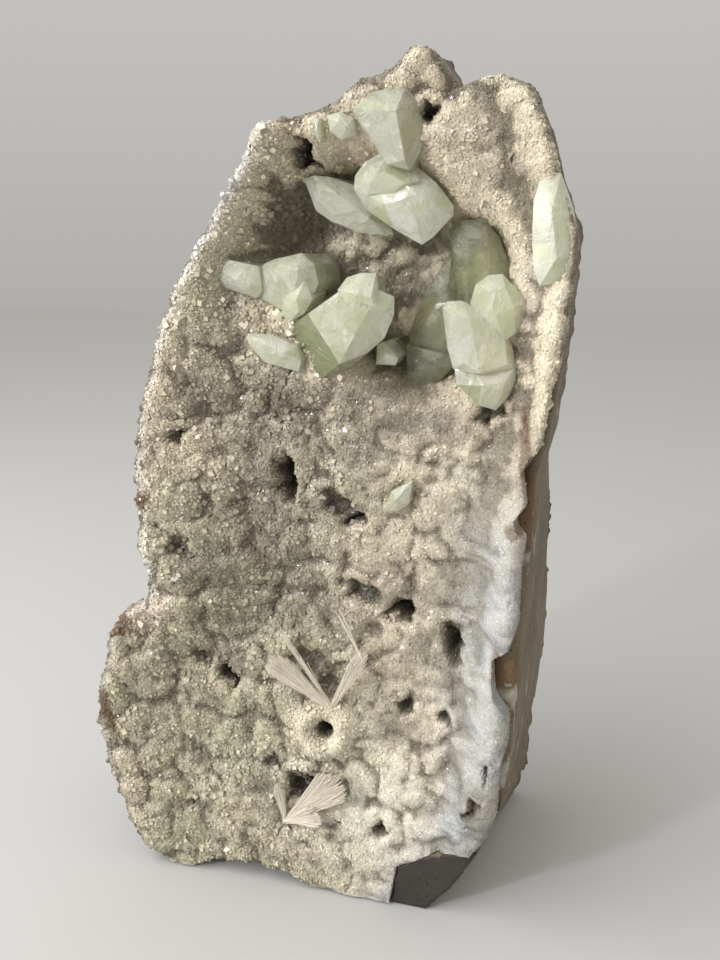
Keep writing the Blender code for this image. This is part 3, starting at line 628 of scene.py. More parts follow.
@dataclass(frozen=True)
class DrusePalette:
    """Colours of the druse and where on the piece each of them lies, with painted light and shade
    among them.
    """

    beige: Colour = (0.77, 0.67, 0.51)
    sage: Colour = (0.42, 0.40, 0.27)
    sugar: Colour = (0.54, 0.545, 0.54)
    slate: Colour = (0.28, 0.30, 0.33)
    rose: Colour = (0.56, 0.46, 0.35)
    # Painted shade in the creases between the lumps
    crease: Colour = (0.16, 0.13, 0.085)
    # Painted shade: the pits and the bore of the tube are painted near black
    pit: Colour = (0.02, 0.016, 0.011)
    rust: Colour = (0.15, 0.085, 0.04)
    # Rows of x, z, rx, rz and share, as for the brown and shadow places below
    rusty_places: Sequence[tuple[float, ...]] = (
        (-55.0, 229.0, 7.0, 3.0, 1.0), (-60.0, 152.0, 3.0, 4.0, 1.0),
        (-74.0, 101.0, 8.0, 4.0, 1.0), (-82.0, 66.0, 4.5, 9.0, 1.0), (-61.0, 200.0, 2.0, 4.0, 1.0),
        (76.5, 184.0, 2.2, 6.0, 0.8), (78.5, 172.0, 2.4, 7.0, 0.8), (75.5, 151.5, 3.0, 2.6, 0.85),
        (71.5, 102.0, 1.8, 9.0, 0.6))
    blush: Colour = (0.66, 0.52, 0.44)
    blush_place: tuple[float, ...] = (-57.0, 110.0, 9.0, 9.0)
    # Rows of x, z, rx, rz and what the brightness gains there: partly the druse's own lighter and
    # darker patches, partly painted light and painted shade, as under the crystals near z 185 to
    # 192
    tone_and_light_gains: Sequence[tuple[float, ...]] = (
        (28.0, 45.0, 26.0, 24.0, 0.3), (2.0, 165.0, 34.0, 26.0, -0.28),
        (-10.0, 125.0, 32.0, 20.0, -0.25), (10.0, 104.0, 20.0, 12.0, -0.25),
        (50.0, 265.0, 18.0, 20.0, -0.1), (20.0, 222.0, 20.0, 14.0, 0.3),
        (65.0, 45.0, 9.0, 24.0, -0.2), (12.0, 192.0, 16.0, 5.0, -0.45),
        (30.0, 192.0, 9.0, 6.0, -0.6), (47.0, 185.0, 9.0, 8.0, -0.5),
        (18.8, 171.5, 8.0, 8.0, -0.5), (-15.0, 160.0, 7.0, 9.0, -0.55),
        (-3.0, 80.0, 8.0, 6.0, -0.6), (42.0, 120.0, 9.0, 7.0, -0.45),
        (54.0, 99.0, 5.0, 8.0, -0.35), (31.0, 79.0, 7.0, 10.0, -0.4),
        (-10.0, 190.0, 7.0, 7.0, -0.3), (-51.0, 104.0, 8.0, 9.0, 0.45),
        (-38.0, 166.0, 9.0, 8.0, 0.45), (2.5, 237.0, 9.0, 12.0, 0.8),
        (54.0, 76.0, 6.0, 7.0, 0.45), (-39.0, 62.0, 8.0, 8.0, 0.25), (59.0, 214.0, 9.0, 14.0, 0.25))
    ash: Colour = (0.80, 0.79, 0.68)
    ashen_place: tuple[float, ...] = (24.0, 38.0, 30.0, 24.0)
    # Painted shade on the outer band of the lower right rim
    rim_shade: float = 0.34
    rim_width: float = 9.0
    frost_width: float = 2.6
    # Brown-grey patches: partly the druse's own darker brown, partly painted shadow beneath the
    # crystals, the ledge and the ridge
    brown_and_shadow: Colour = (0.17, 0.14, 0.10)
    brown_and_shadow_places: Sequence[tuple[float, ...]] = (
        (-8.0, 188.0, 16.0, 17.0, 0.66), (-15.0, 143.0, 17.0, 21.0, 0.54),
        (32.0, 182.0, 19.0, 10.0, 0.85), (13.0, 208.0, 17.0, 8.0, 0.54),
        (-4.0, 117.0, 21.0, 11.0, 0.54), (41.0, 101.0, 11.0, 10.0, 0.6),
        (-31.0, 87.0, 10.0, 8.0, 0.72), (-17.0, 39.0, 9.0, 9.0, 0.72), (33.0, 71.0, 8.0, 8.0, 0.72),
        (-36.0, 189.0, 10.0, 10.0, 0.6), (-36.0, 122.0, 14.0, 10.0, 0.66),
        (67.0, 49.0, 8.0, 14.0, 0.72), (27.0, 117.0, 13.0, 8.0, 0.72),
        (-19.0, 223.0, 10.0, 7.0, 0.35), (14.0, 150.0, 16.0, 10.0, 0.47),
        (53.0, 103.0, 6.0, 21.0, 0.47))
    frost: Colour = (0.80, 0.79, 0.80)

    def sugar_share(self, x: np.ndarray, z: np.ndarray, form: VugForm) -> np.ndarray:
        """How much the druse is the fine bluish sugar of the lower right rim."""
        right = form.edges(z)[1]
        across = bell(np.clip((right - x) / MM - 10.0, -6.0, 60.0) / 15.0)
        return across * smooth((0.185 - z) / 0.05)

    def at(self, co: np.ndarray, form: VugForm, relief: ReliefMap) -> np.ndarray:
        """Colour of the druse at places on its surface.

        Args:
            co: One (x, y, z) row for each place.
            form: Measures of the vug.
            relief: Map of the hollows.

        Returns:
            One linear colour for each place.
        """
        x, z = co[:, 0], co[:, 2]
        sugar = self.sugar_share(x, z, form)
        tone = self._mineral(x, z, sugar)
        # Painted light and painted shade, partly the druse's own lighter and darker patches
        for *place, tone_and_light_gain in self.tone_and_light_gains:
            tone = tone * (1.0 + tone_and_light_gain * bell(ellipse_distance(x, z, place)))[:, None]
        ashen = 0.55 * bell(ellipse_distance(x, z, self.ashen_place))
        tone = blend_colours(tone, self.ash, ashen * (1.0 - sugar))
        tone = self._edged(tone, x, z, form)
        return self._hollowed(tone, x, z, sugar, form.pit_shade_share(x, z), relief.hollow_at(x, z))

    def _mineral(self, x: np.ndarray, z: np.ndarray, sugar: np.ndarray) -> np.ndarray:
        """Own colour of the druse: beige above, green below, bluish sugar at the right rim."""
        tone = np.tile(np.array(self.beige), (len(x), 1))
        green = 0.25 + 0.75 * smooth((0.045 - x) / 0.10) * (0.45 + 0.55 * smooth((0.2 - z) / 0.1))
        green = green * (0.55 + 0.9 * clouds(x, z, 17.0 * MM, Pattern.GREEN))
        tone = blend_colours(tone, self.sage, green)
        tone = blend_colours(tone, self.sugar, sugar * 0.9)
        chill = 0.7 * clouds(x, z, 8.0 * MM, Pattern.CHILL)
        chill = chill + 0.3 * clouds(x, z, 2.6 * MM, Pattern.FINE_CHILL)
        chill = smooth((chill - 0.44) / 0.22) * sugar
        tone = blend_colours(tone, self.slate, 0.75 * chill)
        rose = smooth((clouds(x, z, 24.0 * MM, Pattern.ROSE) - 0.5) / 0.3)
        tone = blend_colours(tone, self.rose, 0.45 * rose * (1.0 - sugar))
        blush = 0.75 * bell(ellipse_distance(x, z, self.blush_place))
        return blend_colours(tone, self.blush, blush)

    def _edged(self, tone: np.ndarray, x: np.ndarray, z: np.ndarray,
               form: VugForm) -> np.ndarray:
        """The colour with painted shade on the lower right rim and the frosty left edge."""
        left, right = form.edges(z)
        # Painted shade along the lower right rim
        rim_shade_share = bell((right - x) / MM / self.rim_width) * smooth((0.2 - z) / 0.03)
        tone = tone * (1.0 - self.rim_shade * rim_shade_share)[:, None]
        frosty = bell((x - left) / MM / self.frost_width) * smooth((z - 0.02) / 0.05)
        frosty = frosty * (0.35 + 0.9 * clouds(x, z, 11.0 * MM, Pattern.FROST))
        return blend_colours(tone, self.frost, 0.65 * frosty)

    def _hollowed(self, tone: np.ndarray, x: np.ndarray, z: np.ndarray, sugar: np.ndarray,
                  pit: np.ndarray, hollow: np.ndarray) -> np.ndarray:
        """The colour with its brown patches and painted shadow, painted light on the crowns,
        painted shade in the creases and pits, and rust.
        """
        ragged = clouds(x, z, 6.0 * MM, Pattern.RAGGED) - 0.5
        ragged = ragged + 0.6 * (clouds(x, z, 2.2 * MM, Pattern.FINE_RAGGED) - 0.5)
        # Brown patches and painted shadow
        for *place, share in self.brown_and_shadow_places:
            away = ellipse_distance(x, z, place) + 0.9 * ragged
            tone = blend_colours(tone, self.brown_and_shadow, share * fade(away, 0.3, 0.9))
        # Painted light on the crowns and painted shade in the creases, by how hollow each place is
        tone = tone * (1.0 - 0.25 * np.clip(hollow, -1.0, 0.0))[:, None]
        depth = 0.85 * (1.0 - 0.45 * sugar) * smooth((hollow + 0.1) / 0.85)
        tone = blend_colours(tone, self.crease, depth)
        # Painted shade in the pits and the bore
        tone = blend_colours(tone, self.pit, pit)
        for *place, share in self.rusty_places:
            away = ellipse_distance(x, z, place) + 0.8 * ragged
            tone = blend_colours(tone, self.rust, share * fade(away, 0.6, 0.8))
        return tone


def unit_cone(sides: int, root: float, end: float) -> tuple[np.ndarray, np.ndarray]:
    """Model a closed cone or stub of unit height that stands on the origin.

    Args:
        sides: Number of its sides.
        root: Radius at the origin.
        end: Radius at the far end.

    Returns:
        Its points and its triangles.
    """
    deselect_all()
    bpy.ops.mesh.primitive_cone_add(vertices=sides, radius1=root, radius2=end, depth=1.0,
                                    location=(0.0, 0.0, 0.5))
    thing = bpy.context.object
    bpy.ops.object.transform_apply(location=True, rotation=True, scale=True)
    edit_all(bpy.ops.mesh.quads_convert_to_tris)
    points = read_points(thing.data)
    triangles = read_values(thing.data.polygons, "vertices", 3, np.int32)
    discard(thing)
    return points, triangles


class Shape(Enum):
    """Forms of the small crystals: sides, radius of the far end, share of all crystals."""

    SPIKE = (6, 0.0, 0.26)
    POINT = (4, 0.0, 0.44)
    STUB = (4, 0.33, 0.18)
    CHIP = (3, 0.3, 0.12)

    def model(self) -> tuple[np.ndarray, np.ndarray]:
        """Points and triangles of the form, of unit height and with its root at the origin."""
        sides, end, _ = self.value
        return unit_cone(sides, 0.55, end)


@dataclass
class DruseCrust:
    """The crust of druse and the small crystals that cover it."""

    form: VugForm = field(default_factory=VugForm)
    palette: DrusePalette = field(default_factory=DrusePalette)
    relief: ReliefMap = field(default_factory=lambda: ReliefMap(VugForm()))
    step: float = 1.15 * MM
    crust_gap_shade: float = 0.8
    spacing: float = 0.84 * MM
    candidates: int = 600000
    turned_away: float = 0.25
    lowest: float = 1.6 * MM
    bands: int = 6
    total_height: float = 0.3
    sunk_share: float = 0.36
    foot_gap: float = 0.1 * MM
    # Painted shade at the root of each small crystal and painted light towards its tip
    shade_at_root: float = 0.93
    tip_light: float = 0.1
    big_tip_light: float = 0.22
    seed: int = 20

    def build(self, surface: bpy.types.Material, points: bpy.types.Material) -> list:
        """Build the crust and its small crystals.

        Args:
            surface: Material of the crust itself.
            points: Material of the small crystals.

        Returns:
            All pieces, the crust first.
        """
        crust = self.build_crust(surface)
        return [crust, *self.build_points(crust, points)]

    def build_crust(self, material: bpy.types.Material) -> bpy.types.Object:
        """Build the closed sheet of druse."""
        sheet = outline_sheet("druse_sheet", CRUST_OUTLINE, self.step)
        thicken(sheet, self.form.druse_face, self.form.crust_bed)
        crust = settled("druse_crust_fine", sheet)
        tone = self.palette.at(read_points(crust.data), self.form, self.relief)
        # The crust is painted darker than the points on it: painted shade in the gaps between them
        colour_points(crust.data, "tint", tone * self.crust_gap_shade)
        crust.data.materials.append(material)
        return crust

    def sample_places(self, crust: bpy.types.Object,
                      random: np.random.Generator) -> tuple[np.ndarray, np.ndarray]:
        """Even places on the open side of the crust.

        Args:
            crust: The crust to stand on.
            random: Source of random values.

        Returns:
            The places and the way that the surface faces at each.
        """
        mesh = crust.data
        mesh.calc_loop_triangles()
        corners = read_values(mesh.loop_triangles, "vertices", 3, np.int32)
        normals = read_values(mesh.loop_triangles, "normal", 3)
        areas = read_values(mesh.loop_triangles, "area")
        co = read_points(mesh)
        middle_z = co[corners][:, :, 2].mean(axis=1)
        open_side = (normals[:, 1] < self.turned_away) & (middle_z > self.lowest)
        weight = np.where(open_side, areas, 0.0)
        chosen = random.choice(len(corners), self.candidates, p=weight / weight.sum())
        u, v = random.random((2, self.candidates))
        flip = u + v > 1.0
        u, v = np.where(flip, 1.0 - u, u), np.where(flip, 1.0 - v, v)
        a, b, c = (co[corners[chosen, k]] for k in range(3))
        places = a + (b - a) * u[:, None] + (c - a) * v[:, None]
        cells = np.floor(places / self.spacing).astype(np.int64)
        key = (cells[:, 0] * 73856093) ^ (cells[:, 1] * 19349663) ^ (cells[:, 2] * 83492791)
        kept = np.sort(np.unique(key, return_index=True)[1])
        faces = read_values(mesh.vertices, "normal", 3)
        ways = sum(faces[corners[chosen[kept], k]] for k in range(3))
        return places[kept], unit(ways)

    def build_points(self, crust: bpy.types.Object, material: bpy.types.Material) -> list:
        """Cover the crust with small crystals, joined into one piece for each band of height."""
        random = np.random.default_rng(self.seed)
        places, normals = self.sample_places(crust, random)
        forms = [shape.model() for shape in Shape]
        kinds = random.choice(len(forms), len(places), p=[shape.value[2] for shape in Shape])
        band = (places[:, 2] / self.total_height * self.bands).astype(int)
        band = np.clip(band, 0, self.bands - 1)
        pieces = []
        for number in range(self.bands):
            chosen = band == number
            piece = self._join_band(f"druse_points_{number + 1}", places[chosen],
                                    normals[chosen], kinds[chosen], forms, random)
            piece.data.materials.append(material)
            pieces.append(piece)
        return pieces

    def _sizes(self, x: np.ndarray, z: np.ndarray, sugar: np.ndarray,
               random: np.random.Generator) -> tuple[np.ndarray, np.ndarray, np.ndarray]:
        """Width and length of each small crystal, and whether it is one of the big ones."""
        count = len(x)
        crown = self.form.crown_share(x, z)
        patch = clouds(x, z, 9.0 * MM, Pattern.PATCHES)
        calm = self.form.calm_share(x)
        wide = (0.85 + 0.85 * random.random(count) ** 2.2) * (0.8 + 0.3 * crown + 0.35 * patch) * MM
        wide = wide * (1.0 - 0.4 * sugar) * (1.0 - 0.16 * calm)
        big = random.random(count) < (0.045 + 0.09 * patch) * (1.0 - 0.7 * calm) * (1.0 - sugar)
        wide = np.where(big, wide * (1.5 + 0.6 * random.random(count)), wide)
        tall = wide * (0.55 + 0.35 * random.random(count)) * (1.0 - 0.3 * sugar)
        return wide, tall * (1.0 - 0.3 * calm), big

    def _frames(self, normals: np.ndarray, wide: np.ndarray, tall: np.ndarray,
                sugar: np.ndarray, random: np.random.Generator) -> tuple[np.ndarray, np.ndarray]:
        """Axis of each small crystal, and its two sides and its axis at their full lengths."""
        size = normals.shape
        loose = (0.36 * (1.0 - 0.3 * sugar))[:, None]
        axis = normals + loose * random.normal(size=size) * np.array([1.0, 0.8, 1.0])
        axis[:, 1] -= 0.15
        axis = unit(axis)
        side = unit(np.cross(axis, random.normal(size=size)))
        other = np.cross(axis, side)
        squeeze = 0.75 + 0.5 * random.random(len(normals))
        return axis, np.stack([side * (wide * squeeze)[:, None], other * wide[:, None],
                               axis * tall[:, None]], axis=1)

    def _facing(self, normals: np.ndarray, axis: np.ndarray, big: np.ndarray,
                random: np.random.Generator) -> np.ndarray:
        """Way in which each small crystal is lit, shorter where it turns from the viewer."""
        turn = np.where(big, 0.85, 0.15 + 0.4 * random.random(len(big)))[:, None]
        ways = unit(normals * (1.0 - turn) + axis * turn)
        return ways * (0.12 + 0.88 * smooth((-ways[:, 1] - 0.05) / 0.35))[:, None]

    def _tones(self, places: np.ndarray, big: np.ndarray, sugar: np.ndarray,
               random: np.random.Generator) -> np.ndarray:
        """Colour of each small crystal; a few of the small ones are painted brighter, a painted
        sparkle.
        """
        tone = self.palette.at(places, self.form, self.relief)
        spread = 0.1 + 0.14 * sugar
        tone = tone * (1.0 - 0.5 * spread + spread * random.random(len(big)))[:, None]
        # Painted highlight: a random few of the small crystals are painted up to half as bright
        # again
        clear = np.where(big, 0.0, random.random(len(big)))
        return np.minimum(tone * (1.0 + 0.5 * smooth((clear - 0.92) / 0.08))[:, None], 0.9)

    def _join_band(self, name: str, places: np.ndarray, normals: np.ndarray, kinds: np.ndarray,
                   forms: list, random: np.random.Generator) -> bpy.types.Object:
        """Stand one small crystal on each place and join them all."""
        x, z = places[:, 0], places[:, 2]
        sugar = self.palette.sugar_share(x, z, self.form)
        wide, tall, big = self._sizes(x, z, sugar, random)
        axis, frames = self._frames(normals, wide, tall, sugar, random)
        roots = places - axis * (self.sunk_share * tall)[:, None]
        ways = self._facing(normals, axis, big, random)
        tone = self._tones(places, big, sugar, random)
        points, faces, owners, heights, first = [], [], [], [], 0
        for kind, (seed_points, seed_faces) in enumerate(forms):
            mine, size = np.flatnonzero(kinds == kind), len(seed_points)
            placed = np.einsum("kj,njd->nkd", seed_points, frames[mine]) + roots[mine][:, None, :]
            offsets = first + size * np.arange(len(mine))
            points.append(placed.reshape(-1, 3))
            faces.append((seed_faces[None, :, :] + offsets[:, None, None]).reshape(-1, 3))
            owners.append(np.repeat(mine, size))
            heights.append(np.tile(np.clip(seed_points[:, 2], 0.0, 1.0), len(mine)))
            first += size * len(mine)
        whole, owner = np.concatenate(points), np.concatenate(owners)
        whole[:, 2] = np.maximum(whole[:, 2], self.foot_gap)
        # Painted shade at the roots and painted light at the tips
        tip_light = np.where(big, self.big_tip_light, self.tip_light)[owner]
        shade = self.shade_at_root + tip_light * np.concatenate(heights)
        piece = mesh_from_arrays(name, whole, np.concatenate(faces))
        colour_points(piece.data, "tint", np.clip(tone[owner] * shade[:, None], 0.0, 1.0))
        face_points(piece.data, "facing", ways[owner])
        return piece


@dataclass(frozen=True)
class CrystalForm:
    """One blocky crystal, in millimetres.

    It has the corners (x, depth, z) of its open side, the run to its root, the taper of the
    root, the share of deep green and painted shade on its lower left faces and its brightness.
    """

    corners: Sequence[tuple[float, float, float]]
    run: tuple[float, float, float]
    taper: float
    green_shade_share: float = 0.0
    tone: float = 1.0


@dataclass
class CrystalGroup:
    """Apophyllite crystals that are grown together."""

    name: str
    forms: Sequence[CrystalForm]
    edge_rounding: float = 0.25 * MM
    bevel_angle: float = math.radians(14.0)
    smooth_angle: float = math.radians(18.0)
    flat_angle: float = math.radians(4.0)
    # Deep green of the clear crystal, with painted shade, on the faces that turn down and left
    deep_green_shade: Colour = (0.42, 0.46, 0.30)
    shaded_side: tuple[float, float, float] = (-0.62, 0.0, -0.78)
    greenish: Colour = (0.87, 0.90, 0.76)
    face_mix: tuple[float, float, float] = (12.9, 78.2, 37.7)

    def build(self, material: bpy.types.Material) -> bpy.types.Object:
        """Build the crystals of the group and join them where they meet.

        Args:
            material: Material of the crystals.

        Returns:
            The group as one closed piece.
        """
        whole = self.model_crystal(self.forms[0])
        whole.name = whole.data.name = self.name
        for form in self.forms[1:]:
            other = self.model_crystal(form)
            step = whole.modifiers.new("grown_together", "BOOLEAN")
            step.operation = "UNION"
            step.solver = "EXACT"
            step.object = other
            apply_all(whole)
            discard(other)
        worn = whole.modifiers.new("worn_edges", "BEVEL")
        worn.width = self.edge_rounding
        worn.segments = 2
        worn.limit_method = "ANGLE"
        worn.angle_limit = self.bevel_angle
        apply_all(whole)
        pick(whole)
        bpy.ops.object.shade_smooth_by_angle(angle=self.smooth_angle)
        whole.data.materials.clear()
        whole.data.materials.append(material)
        return whole

    def tint_faces(self, mesh: bpy.types.Mesh, form: CrystalForm) -> None:
        """Store a colour for each face: pale, and deep green on the faces that turn down and to the
        left, partly the green of the clear crystal and partly painted shade.
        """
        normals = read_values(mesh.polygons, "normal", 3)
        # Painted shade, partly the deeper green of the clear crystal, by how far each face turns
        # down and left
        share = smooth((normals @ np.array(self.shaded_side) - 0.2) / 0.25)
        own = (np.sin(normals @ np.array(self.face_mix)) * 41.7) % 1.0
        tone = blend_colours(np.ones((len(share), 3)), self.greenish, own**1.4) * form.tone
        tone = blend_colours(tone, self.deep_green_shade, share * form.green_shade_share)
        corners = read_values(mesh.polygons, "loop_total", kind=np.int32)
        layer = mesh.attributes.new("tint", "FLOAT_COLOR", "CORNER")
        rgba = np.ones((int(corners.sum()), 4), np.float32)
        rgba[:, :3] = np.repeat(tone, corners, axis=0)
        layer.data.foreach_set("color", rgba.ravel())

    def model_crystal(self, form: CrystalForm) -> bpy.types.Object:
        """Stretch the faces of one crystal over its corners and its root."""
        ring = from_rim(form.corners)
        deselect_all()
        bpy.ops.mesh.primitive_circle_add(vertices=len(ring), radius=1.0, fill_type="NOTHING")
        thing = bpy.context.object
        edit_all(bpy.ops.mesh.extrude_region_move)
        root = ring.mean(axis=0) + (ring - ring.mean(axis=0)) * form.taper
        write_points(thing.data, np.vstack([ring, root + np.array(form.run) * MM]))
        edit_all(bpy.ops.mesh.convex_hull,
                 lambda: bpy.ops.mesh.dissolve_limited(angle_limit=self.flat_angle),
                 face_outwards)
        self.tint_faces(thing.data, form)
        return thing


@dataclass(frozen=True)
class Fan:
    """One fan of needles: root and middle of its tips, width at the tips and needle count."""

    root: tuple[float, float, float]
    tip: tuple[float, float, float]
    width: float
    count: int
    thick: float = 0.24


@dataclass
class NeedleSpray:
    """Spray of fine scolecite needles that share a root."""

    name: str
    fans: Sequence[Fan]
    seed: int
    sides: int = 5
    cream: Colour = (0.90, 0.82, 0.68)

    def build(self, material: bpy.types.Material) -> bpy.types.Object:
        """Build all needles of the spray as one mesh.

        Args:
            material: Material of the needles.

        Returns:
            The spray.
        """
        random = np.random.default_rng(self.seed)
        seed_points, seed_faces = unit_cone(self.sides, 0.42, 0.28)
        points, faces, colours, first = [], [], [], 0
        for fan in self.fans:
            for root, tip, thick, tone in self.needles(fan, random):
                along = tip - root
                length = float(np.linalg.norm(along))
                axis = along / length
                side = np.cross(axis, [0.3, 1.0, 0.2])
                side /= np.linalg.norm(side)
                frame_rows = np.stack([side * thick, np.cross(axis, side) * thick, along])
                points.append(seed_points @ frame_rows + root)
                faces.append(seed_faces + first)
                colours.append(np.tile(tone, (len(seed_points), 1)))
                first += len(seed_points)
        piece = mesh_from_arrays(self.name, np.concatenate(points), np.concatenate(faces))
        colour_points(piece.data, "tint", np.concatenate(colours))
        piece.data.materials.append(material)
        return piece

    def needles(self, fan: Fan, random: np.random.Generator) -> list:
        """Root, tip, thickness and colour of each needle of a fan."""
        root, tip = from_rim(fan.root), from_rim(fan.tip)
        across = np.cross(tip - root, [0.0, 1.0, 0.0])
        across /= np.linalg.norm(across)
        found = []
        for _ in range(fan.count):
            place = random.uniform(-1.0, 1.0)
            reach = (1.0 - 0.18 * place**2) * random.uniform(0.72, 1.02)
            end = tip + across * place * 0.5 * fan.width * MM
            end = root + (end - root) * reach
            end = end + np.array([0.0, random.uniform(-1.3, 1.0), 0.0]) * MM
            start = root + random.normal(size=3) * 0.35 * MM
            tone = np.array(self.cream) * random.uniform(0.82, 1.05)
            found.append((start, end, fan.thick * random.uniform(0.6, 1.2) * MM, tone))
        return found


@dataclass
class SawnBasalt:
    """The basalt: sawn sides and foot, rough back."""

    form: VugForm = field(default_factory=VugForm)
    voxel: float = 1.5 * MM
    weld: float = 0.01 * MM
    roughness: float = 1.7 * MM
    under_crust_inset: float = 1.5 * MM
    bed_gap: float = 0.4 * MM
    olive: Colour = (0.235, 0.19, 0.125)
    rust: Colour = (0.20, 0.115, 0.05)
    chalk: Colour = (0.62, 0.60, 0.54)
    # Painted shade on the front of the foot
    foot: Colour = (0.046, 0.038, 0.031)

    def build(self, solid: bpy.types.Object, material: bpy.types.Material) -> bpy.types.Object:
        """Build a fine copy of the solid with a broken back.

        Args:
            solid: The basalt of the part.
            material: Material of the basalt.

        Returns:
            The fine basalt.
        """
        stone = put("basalt_fine", solid.data.copy())
        pick(stone)
        bpy.context.tool_settings.mesh_select_mode = (True, False, False)
        edit_all(lambda: bpy.ops.mesh.remove_doubles(threshold=self.weld))
        fine = stone.modifiers.new("fine", "REMESH")
        fine.mode = "VOXEL"
        fine.voxel_size = self.voxel
        fine.use_smooth_shade = True
        apply_all(stone)
        self.break_back(stone)
        stone.data.materials.clear()
        stone.data.materials.append(material)
        return stone

    def paint(self, mesh: bpy.types.Mesh, co: np.ndarray, normals: np.ndarray) -> None:
        """Store the stone's colour: olive sides, rust by the crust, and the front of the foot
        painted near black as painted shade.
        """
        tone = np.tile(np.array(self.olive), (len(co), 1))
        _, y, z = co.T
        rim = y + RIM_TO_ORIGIN
        ragged = clouds(y * 1.3, z, 5.0 * MM, Pattern.STAIN_EDGE)
        ragged = ragged + 0.5 * clouds(y, z * 1.4, 2.0 * MM, Pattern.FINE_STAIN_EDGE)
        near = 1.0 - smooth((rim / MM - 5.0 - 7.0 * ragged) / 6.0)
        rusty = near * smooth((clouds(y, z, 22.0 * MM, Pattern.STAINS) - 0.3) / 0.25)
        tone = blend_colours(tone, self.rust, 0.85 * rusty)
        u, v = self.form.wandered(y * 1.5 + 0.4 * z, z * 0.7 - 0.3 * y)
        chips = clouds(u, v, 9.0 * MM, Pattern.CHIPS)
        chips = chips + 0.5 * clouds(u, v, 3.1 * MM, Pattern.FINE_CHIPS)
        chips = smooth((chips - 1.06) / 0.14) * fade(rim / MM, 36.0, 14.0)
        tone = blend_colours(tone, self.chalk, 0.75 * chips)
        # Painted shade: the forward-looking faces low on the foot are painted near black
        foot = smooth((-normals[:, 1] - 0.25) / 0.3) * fade(z / MM, 45.0, 10.0)
        tone = blend_colours(tone, self.foot, foot)
        colour_points(mesh, "tint", tone)

    def under_crust(self, co: np.ndarray) -> np.ndarray:
        """True for the places that lie behind the crust, seen from the open side."""
        ring = np.array(CRUST_OUTLINE) * MM
        near = nearest_on_ring(co[:, 0], co[:, 2], ring)[0]
        return inside_ring(co[:, 0], co[:, 2], ring) & (near > self.under_crust_inset)

    def break_back(self, stone: bpy.types.Object) -> None:
        """Roughen the broken back and store how broken each place is."""
        co = read_points(stone.data)
        normals = read_values(stone.data.vertices, "normal", 3)
        bed = self.form.crust_bed(co[:, 0], co[:, 2]) - self.bed_gap
        inner = (normals[:, 1] < -0.1) & (co[:, 1] < bed) & self.under_crust(co)
        co[:, 1] = np.where(inner, bed, co[:, 1])
        self.paint(stone.data, co, normals)
        broken = smooth((normals[:, 1] - 0.25) / 0.35)
        x, z = co[:, 0] + 0.35 * co[:, 1], co[:, 2] - 0.2 * co[:, 1]
        x, z = self.form.wandered(x, z)
        rise = (1.6 * lumps(x, z, 21.0 * MM, Pattern.BREAKS)
                + 0.9 * lumps(x, z, 8.5 * MM, Pattern.FINE_BREAKS)
                + 0.8 * clouds(x, z, 3.4 * MM, Pattern.BREAK_GRIT) - 1.8)
        co = co + normals * (broken * rise * self.roughness)[:, None]
        co[:, 2] = np.maximum(co[:, 2], 0.0)
        write_points(stone.data, co)
        colour_points(stone.data, "kind", np.stack([broken, broken, broken], axis=1))


def new_material(name: str) -> tuple[bpy.types.Material, bpy.types.NodeTree, bpy.types.Node]:
    """Empty material with its Principled shader.

    Args:
        name: Name of the material.

    Returns:
        The material, its node tree and its shader.
    """
    material = bpy.data.materials.new(name)
    material.use_nodes = True
    tree = material.node_tree
    return material, tree, tree.nodes["Principled BSDF"]


def feed(node: bpy.types.Node, key: str | int, value: object) -> None:
    """Link an input of a node to a socket, or set it to any other value."""
    if isinstance(value, bpy.types.NodeSocket):
        node.id_data.links.new(value, node.inputs[key])
    else:
        node.inputs[key].default_value = value


def set_inputs(node: bpy.types.Node, **values: object) -> None:
    """Feed inputs of a node under their names, with _ for each space."""
    for key, value in values.items():
        feed(node, key.replace("_", " "), value)


def add_node(tree: bpy.types.NodeTree, kind: str, **values: object) -> bpy.types.Node:
    """Add a node, with its settings and its inputs under their names."""
    node = tree.nodes.new(kind)
    for key, value in values.items():
        if hasattr(node, key):
            setattr(node, key, value)
        else:
            set_inputs(node, **{key: value})
    return node


def object_place(tree: bpy.types.NodeTree) -> bpy.types.NodeSocket:
    """Object coordinates of the shaded place."""
    return add_node(tree, "ShaderNodeTexCoord").outputs["Object"]


def painted(tree: bpy.types.NodeTree, layer: str) -> bpy.types.NodeSocket:
    """Colour that is stored in the mesh under that name."""
    return add_node(tree, "ShaderNodeVertexColor", layer_name=layer).outputs["Color"]


def noise(tree: bpy.types.NodeTree, place: bpy.types.NodeSocket,
          **values: float) -> bpy.types.NodeSocket:
    """Value of a noise at a place."""
    return add_node(tree, "ShaderNodeTexNoise", Vector=place, **values).outputs["Fac"]


def ramp(tree: bpy.types.NodeTree, value: bpy.types.NodeSocket, low: float, high: float,
         start: float = 0.0, end: float = 1.0) -> bpy.types.NodeSocket:
    """Clamped map of a value from low..high to start..end."""
    node = add_node(tree, "ShaderNodeMapRange", clamp=True, Value=value, From_Min=low,
                    From_Max=high, To_Min=start, To_Max=end)
    return node.outputs["Result"]


def mix(tree: bpy.types.NodeTree, share: bpy.types.NodeSocket | float, a: object, b: object,
        blend: str = "MIX") -> bpy.types.NodeSocket:
    """Mix of two colours, each a colour or a socket."""
    node = add_node(tree, "ShaderNodeMix", data_type="RGBA", blend_type=blend, Factor=share)
    for number, value in ((6, a), (7, b)):
        feed(node, number, value if isinstance(value, bpy.types.NodeSocket) else (*value, 1.0))
    return node.outputs[2]


